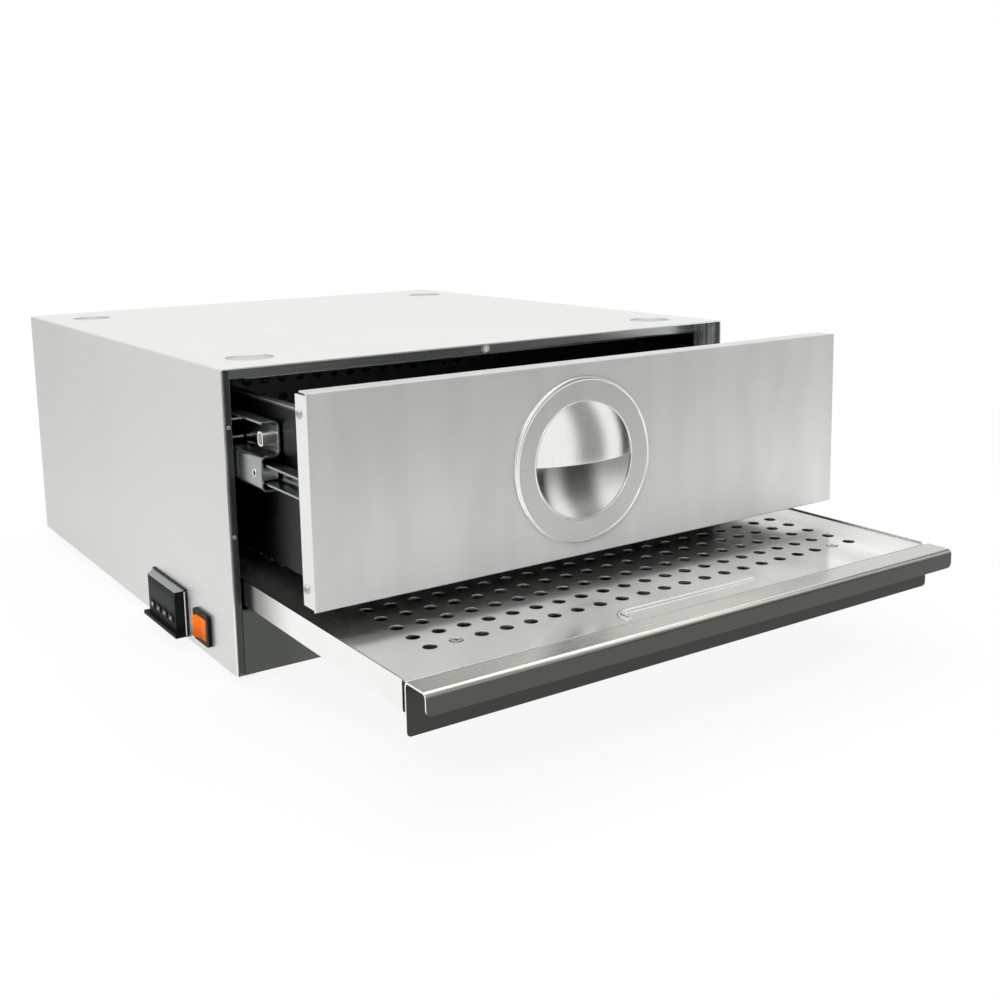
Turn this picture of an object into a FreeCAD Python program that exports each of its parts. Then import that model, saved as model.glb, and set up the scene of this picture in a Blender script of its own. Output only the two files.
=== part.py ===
"""Countertop heated drawer cabinet: folded steel case, deep drawer on telescopic slides, perforated tray.

Frame: origin on the bench under the middle of the cabinet, X to the right, Y to the back, Z up, millimetres.
The drawer and the tray are modelled part way open, as they rest.
"""

import FreeCAD, Part
import math
import os
import re

import Sketcher

# Driving dimensions, in millimetres and degrees
SIZES = {
    # case
    "cab_width": 480.0,
    "cab_depth": 528.0,
    "cab_height": 228.0,
    "skin": 1.2,
    "bend_radius": 1.0,
    "wrap_return": 15.0,
    "header_height": 11.0,
    "header_setback": 27.0,
    "header_hem": 6.0,
    "header_screw_scale": 1.3,
    "header_screw_rise": 4.5,
    "stile_width": 5.8,
    "stile_bend": 0.5,
    "frame_leg": 18.0,
    "stile_screw_low": 122.0,
    "stile_screw_high": 42.0,
    "stile_screw_scale": 0.55,
    "sill_height": 51.0,
    "liner": 1.0,
    "plenum_depth": 72.0,
    "board_gap": 0.4,
    "dimple_radius": 18.5,
    "dimple_depth": 1.0,
    "dimple_slope": 2.0,
    "foot_inset_x": 43.0,
    "foot_inset_front": 49.5,
    "foot_inset_back": 71.0,
    "foot_height": 8.0,
    "foot_radius": 15.0,
    "foot_taper": 2.0,
    "foot_well_radius": 6.0,
    "foot_well_depth": 4.5,
    # ventilated back
    "vent_length": 60.0,
    "vent_height": 5.0,
    "vent_pitch": 14.0,
    "vent_spread": 140.0,
    "vent_drop": 78.0,
    "rear_screw_inset": 8.0,
    "gland_hole": 10.0,
    "gland_bore": 4.5,
    "gland_x": 120.0,
    "gland_level": 26.0,
    "gland_barrel": 16.0,
    "gland_hex": 13.5,
    "gland_hex_height": 6.0,
    "gland_cap": 10.5,
    "gland_cap_length": 9.0,
    # perforation
    "hole_radius": 4.75,
    "hole_pitch": 19.05,
    "tray_row_pitch": 20.9,
    "tray_first_row": 64.0,
    "floor_pitch": 25.4,
    "edge_margin": 14.0,
    # drawer
    "drawer_out": 134.5,
    "stop_gap": 2.0,
    "panel_side_gap": 2.0,
    "panel_head_gap": 1.0,
    "panel_level": 86.5,
    "panel_thick": 16.0,
    "corner_relief": 1.6,
    "backer_return": 12.0,
    "flange_screw_inset": 13.6,
    "ring_margin": 10.0,
    "ring_rise": 2.0,
    "ring_width": 17.0,
    "pull_offset": 24.0,
    "hood_bulge": 10.5,
    "cup_depth": 11.0,
    "cup_sheet": 1.0,
    "cup_flange": 7.0,
    "cup_gap": 0.1,
    "drawer_head_gap": 9.8,
    "drawer_floor_rise": 4.0,
    "drawer_rim_width": 9.0,
    "drawer_back_gap": 10.0,
    "bracket_leg": 14.0,
    "bracket_gap": 2.0,
    "bracket_height": 13.0,
    # telescopic slides
    "slide_room": 17.5,
    "slide_drop": 35.0,
    "slide_height": 49.0,
    "slide_wall": 1.5,
    "slide_bend": 3.0,
    "slide_side_gap": 1.3,
    "slide_nose_gap": 1.2,
    "slide_setback": 13.7,
    "slide_back_gap": 12.8,
    "slide_hole": 2.0,
    "slide_hole_inset": 12.0,
    "ball_radius": 1.6,
    "ball_gap": 0.3,
    "cage_length": 200.0,
    "cage_start": 134.0,
    "cage_width": 5.0,
    "cage_sheet": 1.0,
    "ball_pitch": 16.0,
    # tray
    "tray_out": 259.0,
    "tray_level": 73.5,
    "tray_depth": 20.5,
    "tray_side_gap": 1.5,
    "tray_back_gap": 8.0,
    "tray_wall_height": 34.0,
    "tray_wall_corner": 3.0,
    "lip_depth": 22.6,
    "lip_drop": 14.0,
    "lip_bend": 2.6,
    "lip_corner": 4.0,
    "insert_drop": 1.0,
    "insert_gap": 0.3,
    "insert_leg": 12.0,
    "pan_setback": 3.0,
    "post_radius": 7.0,
    "peg_radius": 3.6,
    "peg_rise": 0.3,
    "bead_half": 62.0,
    "bead_reach": 18.0,
    "bead_radius": 2.5,
    "bead_corner": 8.0,
    "glide_thick": 1.5,
    "glide_width": 9.0,
    # heater and sensing
    "heater_radius": 4.0,
    "heater_pitch": 70.0,
    "heater_rise": 53.0,
    "heater_head_gap": 50.8,
    "heater_leg_end": 34.0,
    "ferrule_radius": 7.0,
    "ferrule_length": 14.0,
    "pin_radius": 1.5,
    "pin_length": 10.0,
    "clip_width": 12.0,
    "clip_wall": 2.0,
    "probe_radius": 2.5,
    "probe_length": 46.0,
    "probe_x": 110.0,
    "limit_radius": 9.0,
    "limit_height": 9.0,
    "limit_x": 120.0,
    "block_length": 64.0,
    "block_width": 22.0,
    "block_height": 20.0,
    "block_well": 3.2,
    # controller
    "ctrl_from_front": 137.0,
    "ctrl_level": 24.0,
    "ctrl_length": 77.0,
    "ctrl_height": 35.0,
    "ctrl_proud": 7.5,
    "ctrl_slope": 6.5,
    "ctrl_top_slope": 2.5,
    "ctrl_lip": 3.0,
    "case_length": 70.0,
    "case_height": 28.0,
    "case_depth": 55.0,
    "window_length": 58.0,
    "window_height": 12.0,
    "window_rise": 3.2,
    "window_thick": 1.2,
    "button_length": 9.0,
    "button_height": 5.0,
    "button_pitch": 14.5,
    "button_drop": 8.2,
    "button_proud": 0.9,
    "button_depth": 5.0,
    "button_travel": 0.8,
    "button_gap": 0.3,
    # rocker switch
    "rocker_from_front": 62.0,
    "rocker_level": 22.0,
    "rocker_length": 31.0,
    "rocker_height": 25.0,
    "rocker_proud": 3.0,
    "rocker_corner": 3.0,
    "rocker_window": 24.0,
    "rocker_window_height": 18.0,
    "rocker_body": 27.0,
    "rocker_body_height": 21.0,
    "rocker_depth": 22.0,
    "rocker_pocket": 12.0,
    "paddle_half": 9.8,
    "paddle_gap": 0.5,
    "paddle_end": 4.8,
    "paddle_valley": 3.4,
    "paddle_back": 8.0,
    "paddle_pivot": 5.0,
    "paddle_tilt": 8.0,
    # fasteners
    "screw_radius": 1.6,
    "screw_head": 3.2,
    "screw_head_height": 1.5,
    "screw_length": 7.0,
    "screw_slot": 0.8,
    "screw_clear": 0.1,
}

# Places worked out from the sizes above; each formula may use the ones before it
PLACES = {
    "front_y": "-cab_depth / 2",
    "back_y": "cab_depth / 2",
    "half_width": "cab_width / 2",
    "wrap_low": "foot_height",
    "wrap_top": "foot_height + cab_height",
    "wrap_in": "half_width - skin",
    "pan_half": "wrap_in - bend_radius - board_gap",
    "floor_top": "wrap_low + 2 * skin",
    "sill_top": "wrap_low + sill_height",
    "open_half": "wrap_in - stile_width",
    "header_low": "wrap_top - skin - header_height",
    "header_y": "front_y + header_setback",
    "liner_front": "header_y + skin",
    "baffle_y": "back_y - plenum_depth",
    "foot_x": "half_width - foot_inset_x",
    "foot_front": "front_y + foot_inset_front",
    "foot_back": "back_y - foot_inset_back",
    # drawer
    "panel_y": "front_y - drawer_out",
    "panel_back": "panel_y + panel_thick",
    "panel_half": "half_width - panel_side_gap",
    "panel_low": "wrap_low + panel_level",
    "panel_top": "wrap_top - panel_head_gap",
    "drawer_closing": "front_y - panel_back - stop_gap",
    "drawer_end": "baffle_y - drawer_closing - drawer_back_gap",
    "drawer_half": "open_half - slide_room",
    "drawer_low": "panel_low + drawer_floor_rise",
    "drawer_rim": "header_low - drawer_head_gap",
    "pull_z": "(panel_low + panel_top) / 2",
    "ring_radius": "(panel_top - panel_low) / 2 - ring_margin",
    "pull_radius": "ring_radius - ring_width",
    "ring_y": "panel_y - ring_rise",
    "cup_rim": "pull_radius - cup_gap",
    # slides
    "slide_z": "drawer_rim - slide_drop",
    "slide_front": "front_y + slide_setback",
    "slide_length": "baffle_y - slide_back_gap - slide_front",
    "ball_room": "2 * (ball_radius + ball_gap)",
    "mid_top": "slide_z + slide_height / 2",
    "mid_low": "slide_z - slide_height / 2",
    "mid_web": "slide_z - slide_wall / 2",
    "mid_far": "open_half - slide_side_gap - slide_wall",
    "mid_near": "drawer_half + slide_side_gap + slide_wall",
    # tray
    "tray_half": "open_half - tray_side_gap",
    "tray_top": "wrap_low + tray_level",
    "tray_low": "tray_top - tray_depth",
    "lip_y": "front_y - tray_out",
    "tray_wall_y": "lip_y + lip_depth",
    "wall_low": "tray_top - tray_wall_height",
    "tray_closing": "front_y - tray_wall_y - skin - stop_gap",
    "tray_end": "baffle_y - tray_closing - tray_back_gap",
    "pan_front": "tray_wall_y + skin + pan_setback",
    "insert_top": "tray_top - insert_drop",
    "insert_front": "tray_wall_y + skin + insert_gap",
    "insert_half": "tray_half - skin - insert_gap",
    # electrics
    "heater_y": "baffle_y + plenum_depth / 2",
    "heater_low": "sill_top + heater_rise",
    "heater_high": "header_low - heater_head_gap",
    "heater_end": "wrap_low + heater_leg_end",
    "ctrl_y": "front_y + ctrl_from_front",
    "ctrl_z": "wrap_low + ctrl_level",
    "ctrl_x": "-half_width - ctrl_proud",
    "button_z": "ctrl_z - button_drop",
    "rocker_y": "front_y + rocker_from_front",
    "rocker_z": "wrap_low + rocker_level",
    "gland_z": "wrap_low + gland_level",
}

BODY_PLANES = {"x": "YZ_Plane", "y": "XZ_Plane", "z": "XY_Plane"}
WORD = re.compile(r"[a-z][a-z_]+")
NEAR = 1e-4

doc = FreeCAD.newDocument("HeatedDrawerCabinet")
sizes = doc.addObject("Spreadsheet::Sheet", "Sizes")
places = doc.addObject("Spreadsheet::Sheet", "Places")
trial = doc.addObject("Spreadsheet::Sheet", "Trial")
nodes = {}


def qualify(match):
    word = match.group()
    if word in SIZES:
        return "Sizes." + word
    if word in PLACES:
        return "Places." + word
    return word


def formula(text):
    """A formula with every name led by the sheet that holds it."""
    return WORD.sub(qualify, text)


def number(text):
    """The present value of a formula."""
    trial.set("A1", "=" + formula(text))
    trial.recompute()
    return float(trial.get("A1"))


def bind(thing, prop, text):
    thing.setExpression(prop, formula(text))


def fill_sheets():
    for row, (alias, value) in enumerate(SIZES.items(), start=1):
        sizes.set(f"A{row}", alias)
        sizes.set(f"B{row}", str(value))
        sizes.setAlias(f"B{row}", alias)
    for row, (alias, text) in enumerate(PLACES.items(), start=1):
        places.set(f"A{row}", alias)
        places.set(f"B{row}", "=" + formula(text))
        places.setAlias(f"B{row}", alias)
    doc.recompute()


def node(label, thing):
    """Names a finished sub-part."""
    thing.Label = label
    nodes[label] = thing
    return thing


def put(thing, x, y, z):
    for axis, text in zip("xyz", (x, y, z)):
        bind(thing, f"Placement.Base.{axis}", text)
    return thing


def box(x, y, z):
    """A block; each argument is the pair of formulas for its two faces along that axis."""
    block = doc.addObject("Part::Box", "Block")
    for prop, axis, pair in zip(("Length", "Width", "Height"), "xyz", (x, y, z)):
        low, high = sorted(pair, key=number)
        bind(block, prop, f"({high}) - ({low})")
        bind(block, f"Placement.Base.{axis}", low)
    return block


def turn_to(axis):
    """The rotation that carries +Z to a signed axis such as '-x'."""
    sign = -1 if axis.startswith("-") else 1
    aim = FreeCAD.Vector(*(sign if letter == axis[-1] else 0 for letter in "xyz"))
    return FreeCAD.Rotation(FreeCAD.Vector(0, 0, 1), aim)


def rod(axis, start, radius, length):
    """A cylinder from a start point along a signed axis."""
    cylinder = doc.addObject("Part::Cylinder", "Rod")
    bind(cylinder, "Radius", radius)
    bind(cylinder, "Height", length)
    cylinder.Placement.Rotation = turn_to(axis)
    return put(cylinder, *start)


def cone(axis, start, radius_start, radius_end, length):
    frustum = doc.addObject("Part::Cone", "Cone")
    bind(frustum, "Radius1", radius_start)
    bind(frustum, "Radius2", radius_end)
    bind(frustum, "Height", length)
    frustum.Placement.Rotation = turn_to(axis)
    return put(frustum, *start)


def ball(centre, radius):
    sphere = doc.addObject("Part::Sphere", "Ball")
    bind(sphere, "Radius", radius)
    return put(sphere, *centre)


def hexagon(axis, start, radius, length):
    prism = doc.addObject("Part::Prism", "Hexagon")
    prism.Polygon = 6
    bind(prism, "Circumradius", radius)
    bind(prism, "Height", length)
    prism.Placement.Rotation = turn_to(axis)
    return put(prism, *start)


def join(*pieces):
    union = doc.addObject("Part::MultiFuse", "Joined")
    union.Shapes = list(pieces)
    union.Refine = True
    return union


def gather(*pieces):
    """Separate solids kept together in one sub-part."""
    group = doc.addObject("Part::Compound", "Group")
    group.Links = list(pieces)
    return group


def cut(base, *tools):
    result = doc.addObject("Part::Cut", "Trimmed")
    result.Base = base
    result.Tool = tools[0] if len(tools) == 1 else gather(*tools)
    result.Refine = True
    return result


def common(*pieces):
    result = doc.addObject("Part::MultiCommon", "Shared")
    result.Shapes = list(pieces)
    return result


def rounded(base, test, radius):
    """Rounds the edges of a piece for which test(edge) holds."""
    doc.recompute()
    limit = number(radius)
    chosen = [i for i, edge in enumerate(base.Shape.Edges, start=1) if test(edge)]
    fillet = doc.addObject("Part::Fillet", "Rounded")
    fillet.Base = base
    fillet.Edges = [(i, limit, limit) for i in chosen]
    return fillet


def outline_sketch(body, axis, corners):
    """A closed straight-sided outline on the plane across an axis, each corner set by two formulas."""
    sketch = body.newObject("Sketcher::SketchObject", "Outline")
    plane = next(f for f in body.Origin.OriginFeatures if f.Role == BODY_PLANES[axis])
    sketch.AttachmentSupport = [(plane, "")]
    sketch.MapMode = "FlatFace"
    values = [(number(u), number(v)) for u, v in corners]
    count = len(values)
    for i in range(count):
        first = FreeCAD.Vector(*values[i], 0)
        second = FreeCAD.Vector(*values[(i + 1) % count], 0)
        sketch.addGeometry(Part.LineSegment(first, second), False)
    for i in range(count):
        sketch.addConstraint(Sketcher.Constraint("Coincident", i, 2, (i + 1) % count, 1))
    for i, corner in enumerate(corners):
        for kind, text, value in zip(("DistanceX", "DistanceY"), corner, values[i]):
            index = sketch.addConstraint(Sketcher.Constraint(kind, -1, 1, i, 1, value))
            bind(sketch, f"Constraints[{index}]", text)
    return sketch


def drawn(axis, corners, low, high):
    """A body whose outline is drawn out along an axis between two planes."""
    body = doc.addObject("PartDesign::Body", "Body")
    pad = body.newObject("PartDesign::Pad", "Pad")
    pad.Profile = outline_sketch(body, axis, corners)
    bind(pad, "Length", f"({high}) - ({low})")
    bind(body, f"Placement.Base.{axis}", high if axis == "y" else low)
    body.Tip = pad
    doc.recompute()
    return body


def sheet_corners(path, thickness, side):
    """The far face of a folded sheet: its path moved to one side (+1 left, -1 right) by the thickness."""
    values = [(number(u), number(v)) for u, v in path]
    normals = []
    for (u0, v0), (u1, v1) in zip(values, values[1:]):
        run = math.hypot(u1 - u0, v1 - v0)
        normals.append((round(-(v1 - v0) / run) * side, round((u1 - u0) / run) * side))
    moves = [normals[0]]
    moves += [(a[0] + b[0], a[1] + b[1]) for a, b in zip(normals, normals[1:])]
    moves.append(normals[-1])
    other = []
    for (u, v), (du, dv) in zip(path, moves):
        other.append((f"({u}) + {du} * {thickness}", f"({v}) + {dv} * {thickness}"))
    return other


def is_fold(edge, axis, spots):
    """Whether an edge runs along an axis through one of the given points of the cross-section."""
    kept = {"x": (1, 2), "y": (0, 2), "z": (0, 1)}[axis]
    ends = [tuple(vertex.Point) for vertex in edge.Vertexes]
    if len(ends) != 2:
        return False
    first, second = [tuple(end[i] for i in kept) for end in ends]
    return any(math.dist(first, spot) < NEAR and math.dist(second, spot) < NEAR for spot in spots)


def folded_sheet(axis, path, low, high, side, thickness="skin", bend="bend_radius"):
    """A sheet folded at square corners along a path and drawn out along an axis, with rounded bends."""
    other = sheet_corners(path, thickness, side)
    body = drawn(axis, path + other[::-1], low, high)
    points = [(number(u), number(v)) for u, v in path]
    backs = [(number(u), number(v)) for u, v in other]
    tight, wide = [], []
    for i in range(1, len(points) - 1):
        before = (points[i][0] - points[i - 1][0], points[i][1] - points[i - 1][1])
        after = (points[i + 1][0] - points[i][0], points[i + 1][1] - points[i][1])
        turns_in = (before[0] * after[1] - before[1] * after[0]) * side > 0
        tight.append(backs[i] if turns_in else points[i])
        wide.append(points[i] if turns_in else backs[i])
    for spots, radius in ((tight, bend), (wide, f"{bend} + {thickness}")):
        base = body.Tip
        names = [f"Edge{i}" for i, e in enumerate(base.Shape.Edges, start=1) if is_fold(e, axis, spots)]
        fillet = body.newObject("PartDesign::Fillet", "Bend")
        fillet.Base = (base, names)
        bind(fillet, "Radius", radius)
        body.Tip = fillet
        doc.recompute()
    return body


def screw(axis, x, y, z, scale="1"):
    """A pan-head cross-slot screw whose head sits on a face that looks along a signed axis."""
    origin = ("0", "0", "0")
    wide = f"{scale} * screw_head"
    high = f"{scale} * screw_head_height"
    narrow = f"{scale} * screw_slot"
    head = cone("z", origin, wide, f"{wide} * 0.8", high)
    shank = rod("-z", origin, f"{scale} * screw_radius", f"{scale} * screw_length")
    slots = []
    for long_side, short_side in ((wide, narrow), (narrow, wide)):
        across = (f"-{long_side} / 2", f"{long_side} / 2")
        along = (f"-{short_side} / 2", f"{short_side} / 2")
        slots.append(box(across, along, (f"{high} / 2", f"2 * {high}")))
    whole = cut(join(head, shank), *slots)
    whole.Placement.Rotation = turn_to(axis)
    return put(whole, x, y, z)


def screw_hole(axis, x, y, z, scale="1"):
    """The clearance for a screw's shank, through a sheet behind the head."""
    hole = rod(axis, ("0", "0", "0"), f"{scale} * screw_radius + screw_clear", "2 * screw_length")
    spots = {"x": x, "y": y, "z": z}
    letter = axis[-1]
    sign = "-" if axis.startswith("-") else ""
    spots[letter] = f"({spots[letter]}) - {sign}1 * screw_length"
    return put(hole, *(spots[i] for i in "xyz"))


def row(count, pitch):
    """Centred positions, a pitch apart."""
    return [(i - (count - 1) / 2) * pitch for i in range(count)]


def perforated(width, length, thickness, columns, rows, radius):
    """A flat sheet in XY with a grid of round holes, as one holed face drawn up by its thickness."""
    corners = [(-width / 2, 0), (width / 2, 0), (width / 2, length), (-width / 2, length)]
    edge = Part.makePolygon([FreeCAD.Vector(u, v, 0) for u, v in corners + corners[:1]])
    down = FreeCAD.Vector(0, 0, -1)
    holes = [Part.Wire(Part.makeCircle(radius, FreeCAD.Vector(u, v, 0), down)) for u in columns for v in rows]
    return Part.Face([edge, *holes]).extrude(-down * thickness)


def feature(shape, rotation=FreeCAD.Rotation(), base=FreeCAD.Vector()):
    thing = doc.addObject("Part::Feature", "Sheet")
    thing.Shape = shape
    thing.Placement = FreeCAD.Placement(base, rotation)
    return thing


# Case


FOOT_SPOTS = [(f"{s} * foot_x", y) for s in (-1, 1) for y in ("foot_front", "foot_back")]
STILE_SCREW_LEVELS = ("wrap_top - stile_screw_low", "wrap_top - stile_screw_high")
BACK_SCREWS = [
    (f"{s} * (wrap_in - rear_screw_inset)", f"wrap_low + {share} * cab_height")
    for s in (-1, 1)
    for share in (0.08, 0.5, 0.92)
]


def make_wrap():
    path = [
        ("-half_width + wrap_return", "wrap_low"),
        ("-half_width", "wrap_low"),
        ("-half_width", "wrap_top"),
        ("half_width", "wrap_top"),
        ("half_width", "wrap_low"),
        ("half_width - wrap_return", "wrap_low"),
    ]
    shell = folded_sheet("y", path, "front_y", "back_y", side=-1)
    dents, dishes = [], []
    for x, y in FOOT_SPOTS:
        top = (x, y, "wrap_top")
        under = (x, y, "wrap_top - skin / 2")
        dents.append(cone("-z", top, "dimple_radius", "dimple_radius - dimple_slope", "dimple_depth"))
        dishes.append(cone("-z", under, "dimple_radius + skin", "dimple_radius", "dimple_depth + skin / 2"))
    across = ("-half_width - skin", "-wrap_in + skin")
    controller_hole = box(
        across,
        ("ctrl_y - case_length / 2 - board_gap", "ctrl_y + case_length / 2 + board_gap"),
        ("ctrl_z - case_height / 2 - board_gap", "ctrl_z + case_height / 2 + board_gap"),
    )
    rocker_hole = box(
        across,
        ("rocker_y - rocker_body / 2 - board_gap", "rocker_y + rocker_body / 2 + board_gap"),
        ("rocker_z - rocker_body_height / 2 - board_gap", "rocker_z + rocker_body_height / 2 + board_gap"),
    )
    node("outer_wrap", cut(join(shell, *dishes), *dents, controller_hole, rocker_hole))


def make_base():
    depth = ("front_y + skin", "back_y - skin")
    floor = box(("-pan_half", "pan_half"), depth, ("wrap_low + skin", "floor_top"))
    holes = [screw_hole("-z", x, y, "floor_top") for x, y in FOOT_SPOTS]
    node("base_pan", cut(floor, *holes))
    feet, screws = [], []
    for x, y in FOOT_SPOTS:
        rubber = cone("z", (x, y, "0"), "foot_radius - foot_taper", "foot_radius", "wrap_low + skin")
        well = rod("z", (x, y, "-skin"), "foot_well_radius", "foot_well_depth + skin")
        bore = rod("z", (x, y, "0"), "screw_radius + screw_clear", "2 * foot_height")
        feet.append(cut(rubber, well, bore))
        screws.append(screw("-z", x, y, "foot_well_depth"))
    node("rubber_feet", gather(*feet))
    node("foot_screws", gather(*screws))


def make_front_frame():
    """Stiles with deep returns, a header set back between them and a sill under the tray."""
    header_path = [
        ("liner_front + header_hem", "header_low"),
        ("liner_front", "header_low"),
        ("liner_front", "wrap_top - skin"),
        ("liner_front - frame_leg", "wrap_top - skin"),
    ]
    header = folded_sheet("x", header_path, "-open_half", "open_half", side=1)
    screw_spot = ("-y", "0", "header_y", "header_low + header_screw_rise", "header_screw_scale")
    node("front_header", cut(header, screw_hole(*screw_spot)))
    screws = [screw(*screw_spot)]
    for s, name in ((-1, "left_stile"), (1, "right_stile")):
        stile_path = [
            (f"{s} * open_half", "liner_front"),
            (f"{s} * open_half", "front_y"),
            (f"{s} * wrap_in", "front_y"),
            (f"{s} * wrap_in", "front_y + frame_leg"),
        ]
        high = "wrap_top - skin - bend_radius"
        stile = folded_sheet("z", stile_path, "floor_top", high, side=s, bend="stile_bend")
        middle = f"{s} * (open_half + wrap_in) / 2"
        spots = [("-y", middle, "front_y", z, "stile_screw_scale") for z in STILE_SCREW_LEVELS]
        node(name, cut(stile, *(screw_hole(*spot) for spot in spots)))
        screws += [screw(*spot) for spot in spots]
    sill_path = [
        ("front_y", "wrap_low + skin"),
        ("front_y", "sill_top"),
        ("liner_front", "sill_top"),
    ]
    node("front_sill", folded_sheet("x", sill_path, "-open_half", "open_half", side=-1))
    node("frame_screws", gather(*screws))


def make_back():
    wide = ("-wrap_in + board_gap", "wrap_in - board_gap")
    sheet = box(wide, ("back_y - skin", "back_y"), ("floor_top", "wrap_top - skin - bend_radius"))
    through = ("back_y - 2 * skin", "back_y + skin")
    vents = []
    for s in (-1, 1):
        for level in row(4, 1):
            middle = f"{s} * vent_spread / 2"
            z = f"wrap_top - vent_drop + {level} * vent_pitch"
            run = (f"{middle} - vent_length / 2", f"{middle} + vent_length / 2")
            vents.append(box(run, through, (f"{z} - vent_height / 2", f"{z} + vent_height / 2")))
    gland = rod("y", ("gland_x", "back_y - 2 * skin", "gland_z"), "gland_hole", "4 * skin")
    holes = [screw_hole("y", x, "back_y", z) for x, z in BACK_SCREWS]
    node("rear_panel", cut(sheet, *vents, gland, *holes))
    node("rear_screws", gather(*(screw("y", x, "back_y", z) for x, z in BACK_SCREWS)))
    middle = ("gland_x", "back_y", "gland_z")
    cap_start = ("gland_x", "back_y + gland_hex_height", "gland_z")
    barrel = rod("-y", middle, "gland_hole - screw_clear", "gland_barrel")
    flange = hexagon("y", middle, "gland_hex", "gland_hex_height")
    cap = cone("y", cap_start, "gland_cap", "gland_cap * 0.75", "gland_cap_length")
    bore = rod("y", ("gland_x", "back_y - 2 * gland_barrel", "gland_z"), "gland_bore", "6 * gland_barrel")
    node("cable_gland", cut(join(barrel, flange, cap), bore))
    nut = hexagon("-y", ("gland_x", "back_y - skin", "gland_z"), "gland_hex", "gland_hex_height")
    clearance = rod("-y", middle, "gland_hole", "2 * gland_barrel")
    node("gland_nut", cut(nut, clearance))


def make_liner():
    depth = ("liner_front", "baffle_y")
    for s, name in ((-1, "liner_left"), (1, "liner_right")):
        wall = (f"{s} * open_half", f"{s} * (open_half + liner)")
        node(name, box(wall, depth, ("sill_top", "header_low")))
    ceiling = ("header_low", "header_low + liner")
    ceiling_depth = ("liner_front + bend_radius", "baffle_y")
    node("liner_top", box(("-open_half - liner", "open_half + liner"), ceiling_depth, ceiling))
    deck = box(
        ("-wrap_in", "wrap_in"),
        ("liner_front", "back_y - skin"),
        ("sill_top - skin", "sill_top"),
    )
    leg_holes = []
    for s in (-1, 1):
        start = (f"{s} * heater_pitch * 2.5", "heater_y", "sill_top - 2 * skin")
        leg_holes.append(rod("z", start, "heater_radius + board_gap", "4 * skin"))
    node("deck_panel", cut(deck, *leg_holes))
    board_depth = ("liner_front + board_gap", "baffle_y")
    boards = []
    for s in (-1, 1):
        thick = (f"{s} * (open_half + liner + board_gap)", f"{s} * (wrap_in - skin - board_gap)")
        high = ("sill_top + board_gap", "header_low - board_gap")
        boards.append(box(thick, board_depth, high))
    node("side_insulation", gather(*boards))
    over = ("header_low + liner + board_gap", "wrap_top - skin - dimple_depth - skin - board_gap")
    board_half = "open_half - board_gap"
    over_depth = ("header_y + header_screw_scale * screw_length + board_gap", "baffle_y")
    node("top_insulation", box((f"-({board_half})", board_half), over_depth, over))


def make_baffle():
    width = 2 * (number("open_half") - number("board_gap"))
    height = number("header_low - sill_top")
    pitch = number("hole_pitch")
    margin = number("edge_margin")
    columns = row(int((width - 2 * margin) // pitch) + 1, pitch)
    count = int((height - 2 * margin) // pitch) + 1
    rows = [height / 2 + level for level in row(count, pitch)]
    plate = perforated(width, height, number("liner"), columns, rows, number("hole_radius"))
    upright = FreeCAD.Rotation(FreeCAD.Vector(1, 0, 0), 90)
    base = FreeCAD.Vector(0, number("baffle_y + liner"), number("sill_top"))
    node("rear_baffle", feature(plate, upright, base))


# Heater and electrics


def half_ring(x, z, upward):
    """Half of a ring in an XZ plane, curving up or down from its two ends."""
    bend = doc.addObject("Part::Torus", "Turn")
    bind(bend, "Radius1", "heater_pitch / 2")
    bind(bend, "Radius2", "heater_radius")
    bend.Angle3 = 180
    bend.Placement.Rotation = FreeCAD.Rotation(FreeCAD.Vector(1, 0, 0), 90 if upward else -90)
    return put(bend, x, "heater_y", z)


def make_heater():
    runs = row(6, 1)
    tube = []
    for place in runs:
        outer = abs(place) == max(runs)
        low = "heater_end" if outer else "heater_low"
        start = (f"{place} * heater_pitch", "heater_y", low)
        tube.append(rod("z", start, "heater_radius", f"heater_high - {low}"))
    for i, (left, right) in enumerate(zip(runs, runs[1:])):
        upward = i % 2 == 0
        level = "heater_high" if upward else "heater_low"
        tube.append(half_ring(f"{(left + right) / 2} * heater_pitch", level, upward))
    node("heating_element", join(*tube))
    ends, clips = [], []
    for s in (-1, 1):
        x = f"{s} * heater_pitch * 2.5"
        end = (x, "heater_y", "heater_end")
        sleeve = rod("-z", end, "ferrule_radius", "ferrule_length")
        pin = rod("-z", end, "pin_radius", "ferrule_length + pin_length")
        ends.append(join(sleeve, pin))
    node("heater_terminals", gather(*ends))
    for place in (runs[1], runs[4]):
        x = f"{place} * heater_pitch"
        middle = "(heater_low + heater_high) / 2"
        across = "heater_radius + clip_wall"
        block = box(
            (f"{x} - ({across})", f"{x} + ({across})"),
            (f"heater_y - ({across})", "back_y - skin"),
            (f"{middle} - clip_width / 2", f"{middle} + clip_width / 2"),
        )
        bore = rod("z", (x, "heater_y", f"{middle} - clip_width"), "heater_radius", "2 * clip_width")
        clips.append(cut(block, bore))
    node("heater_clips", gather(*clips))


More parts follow.
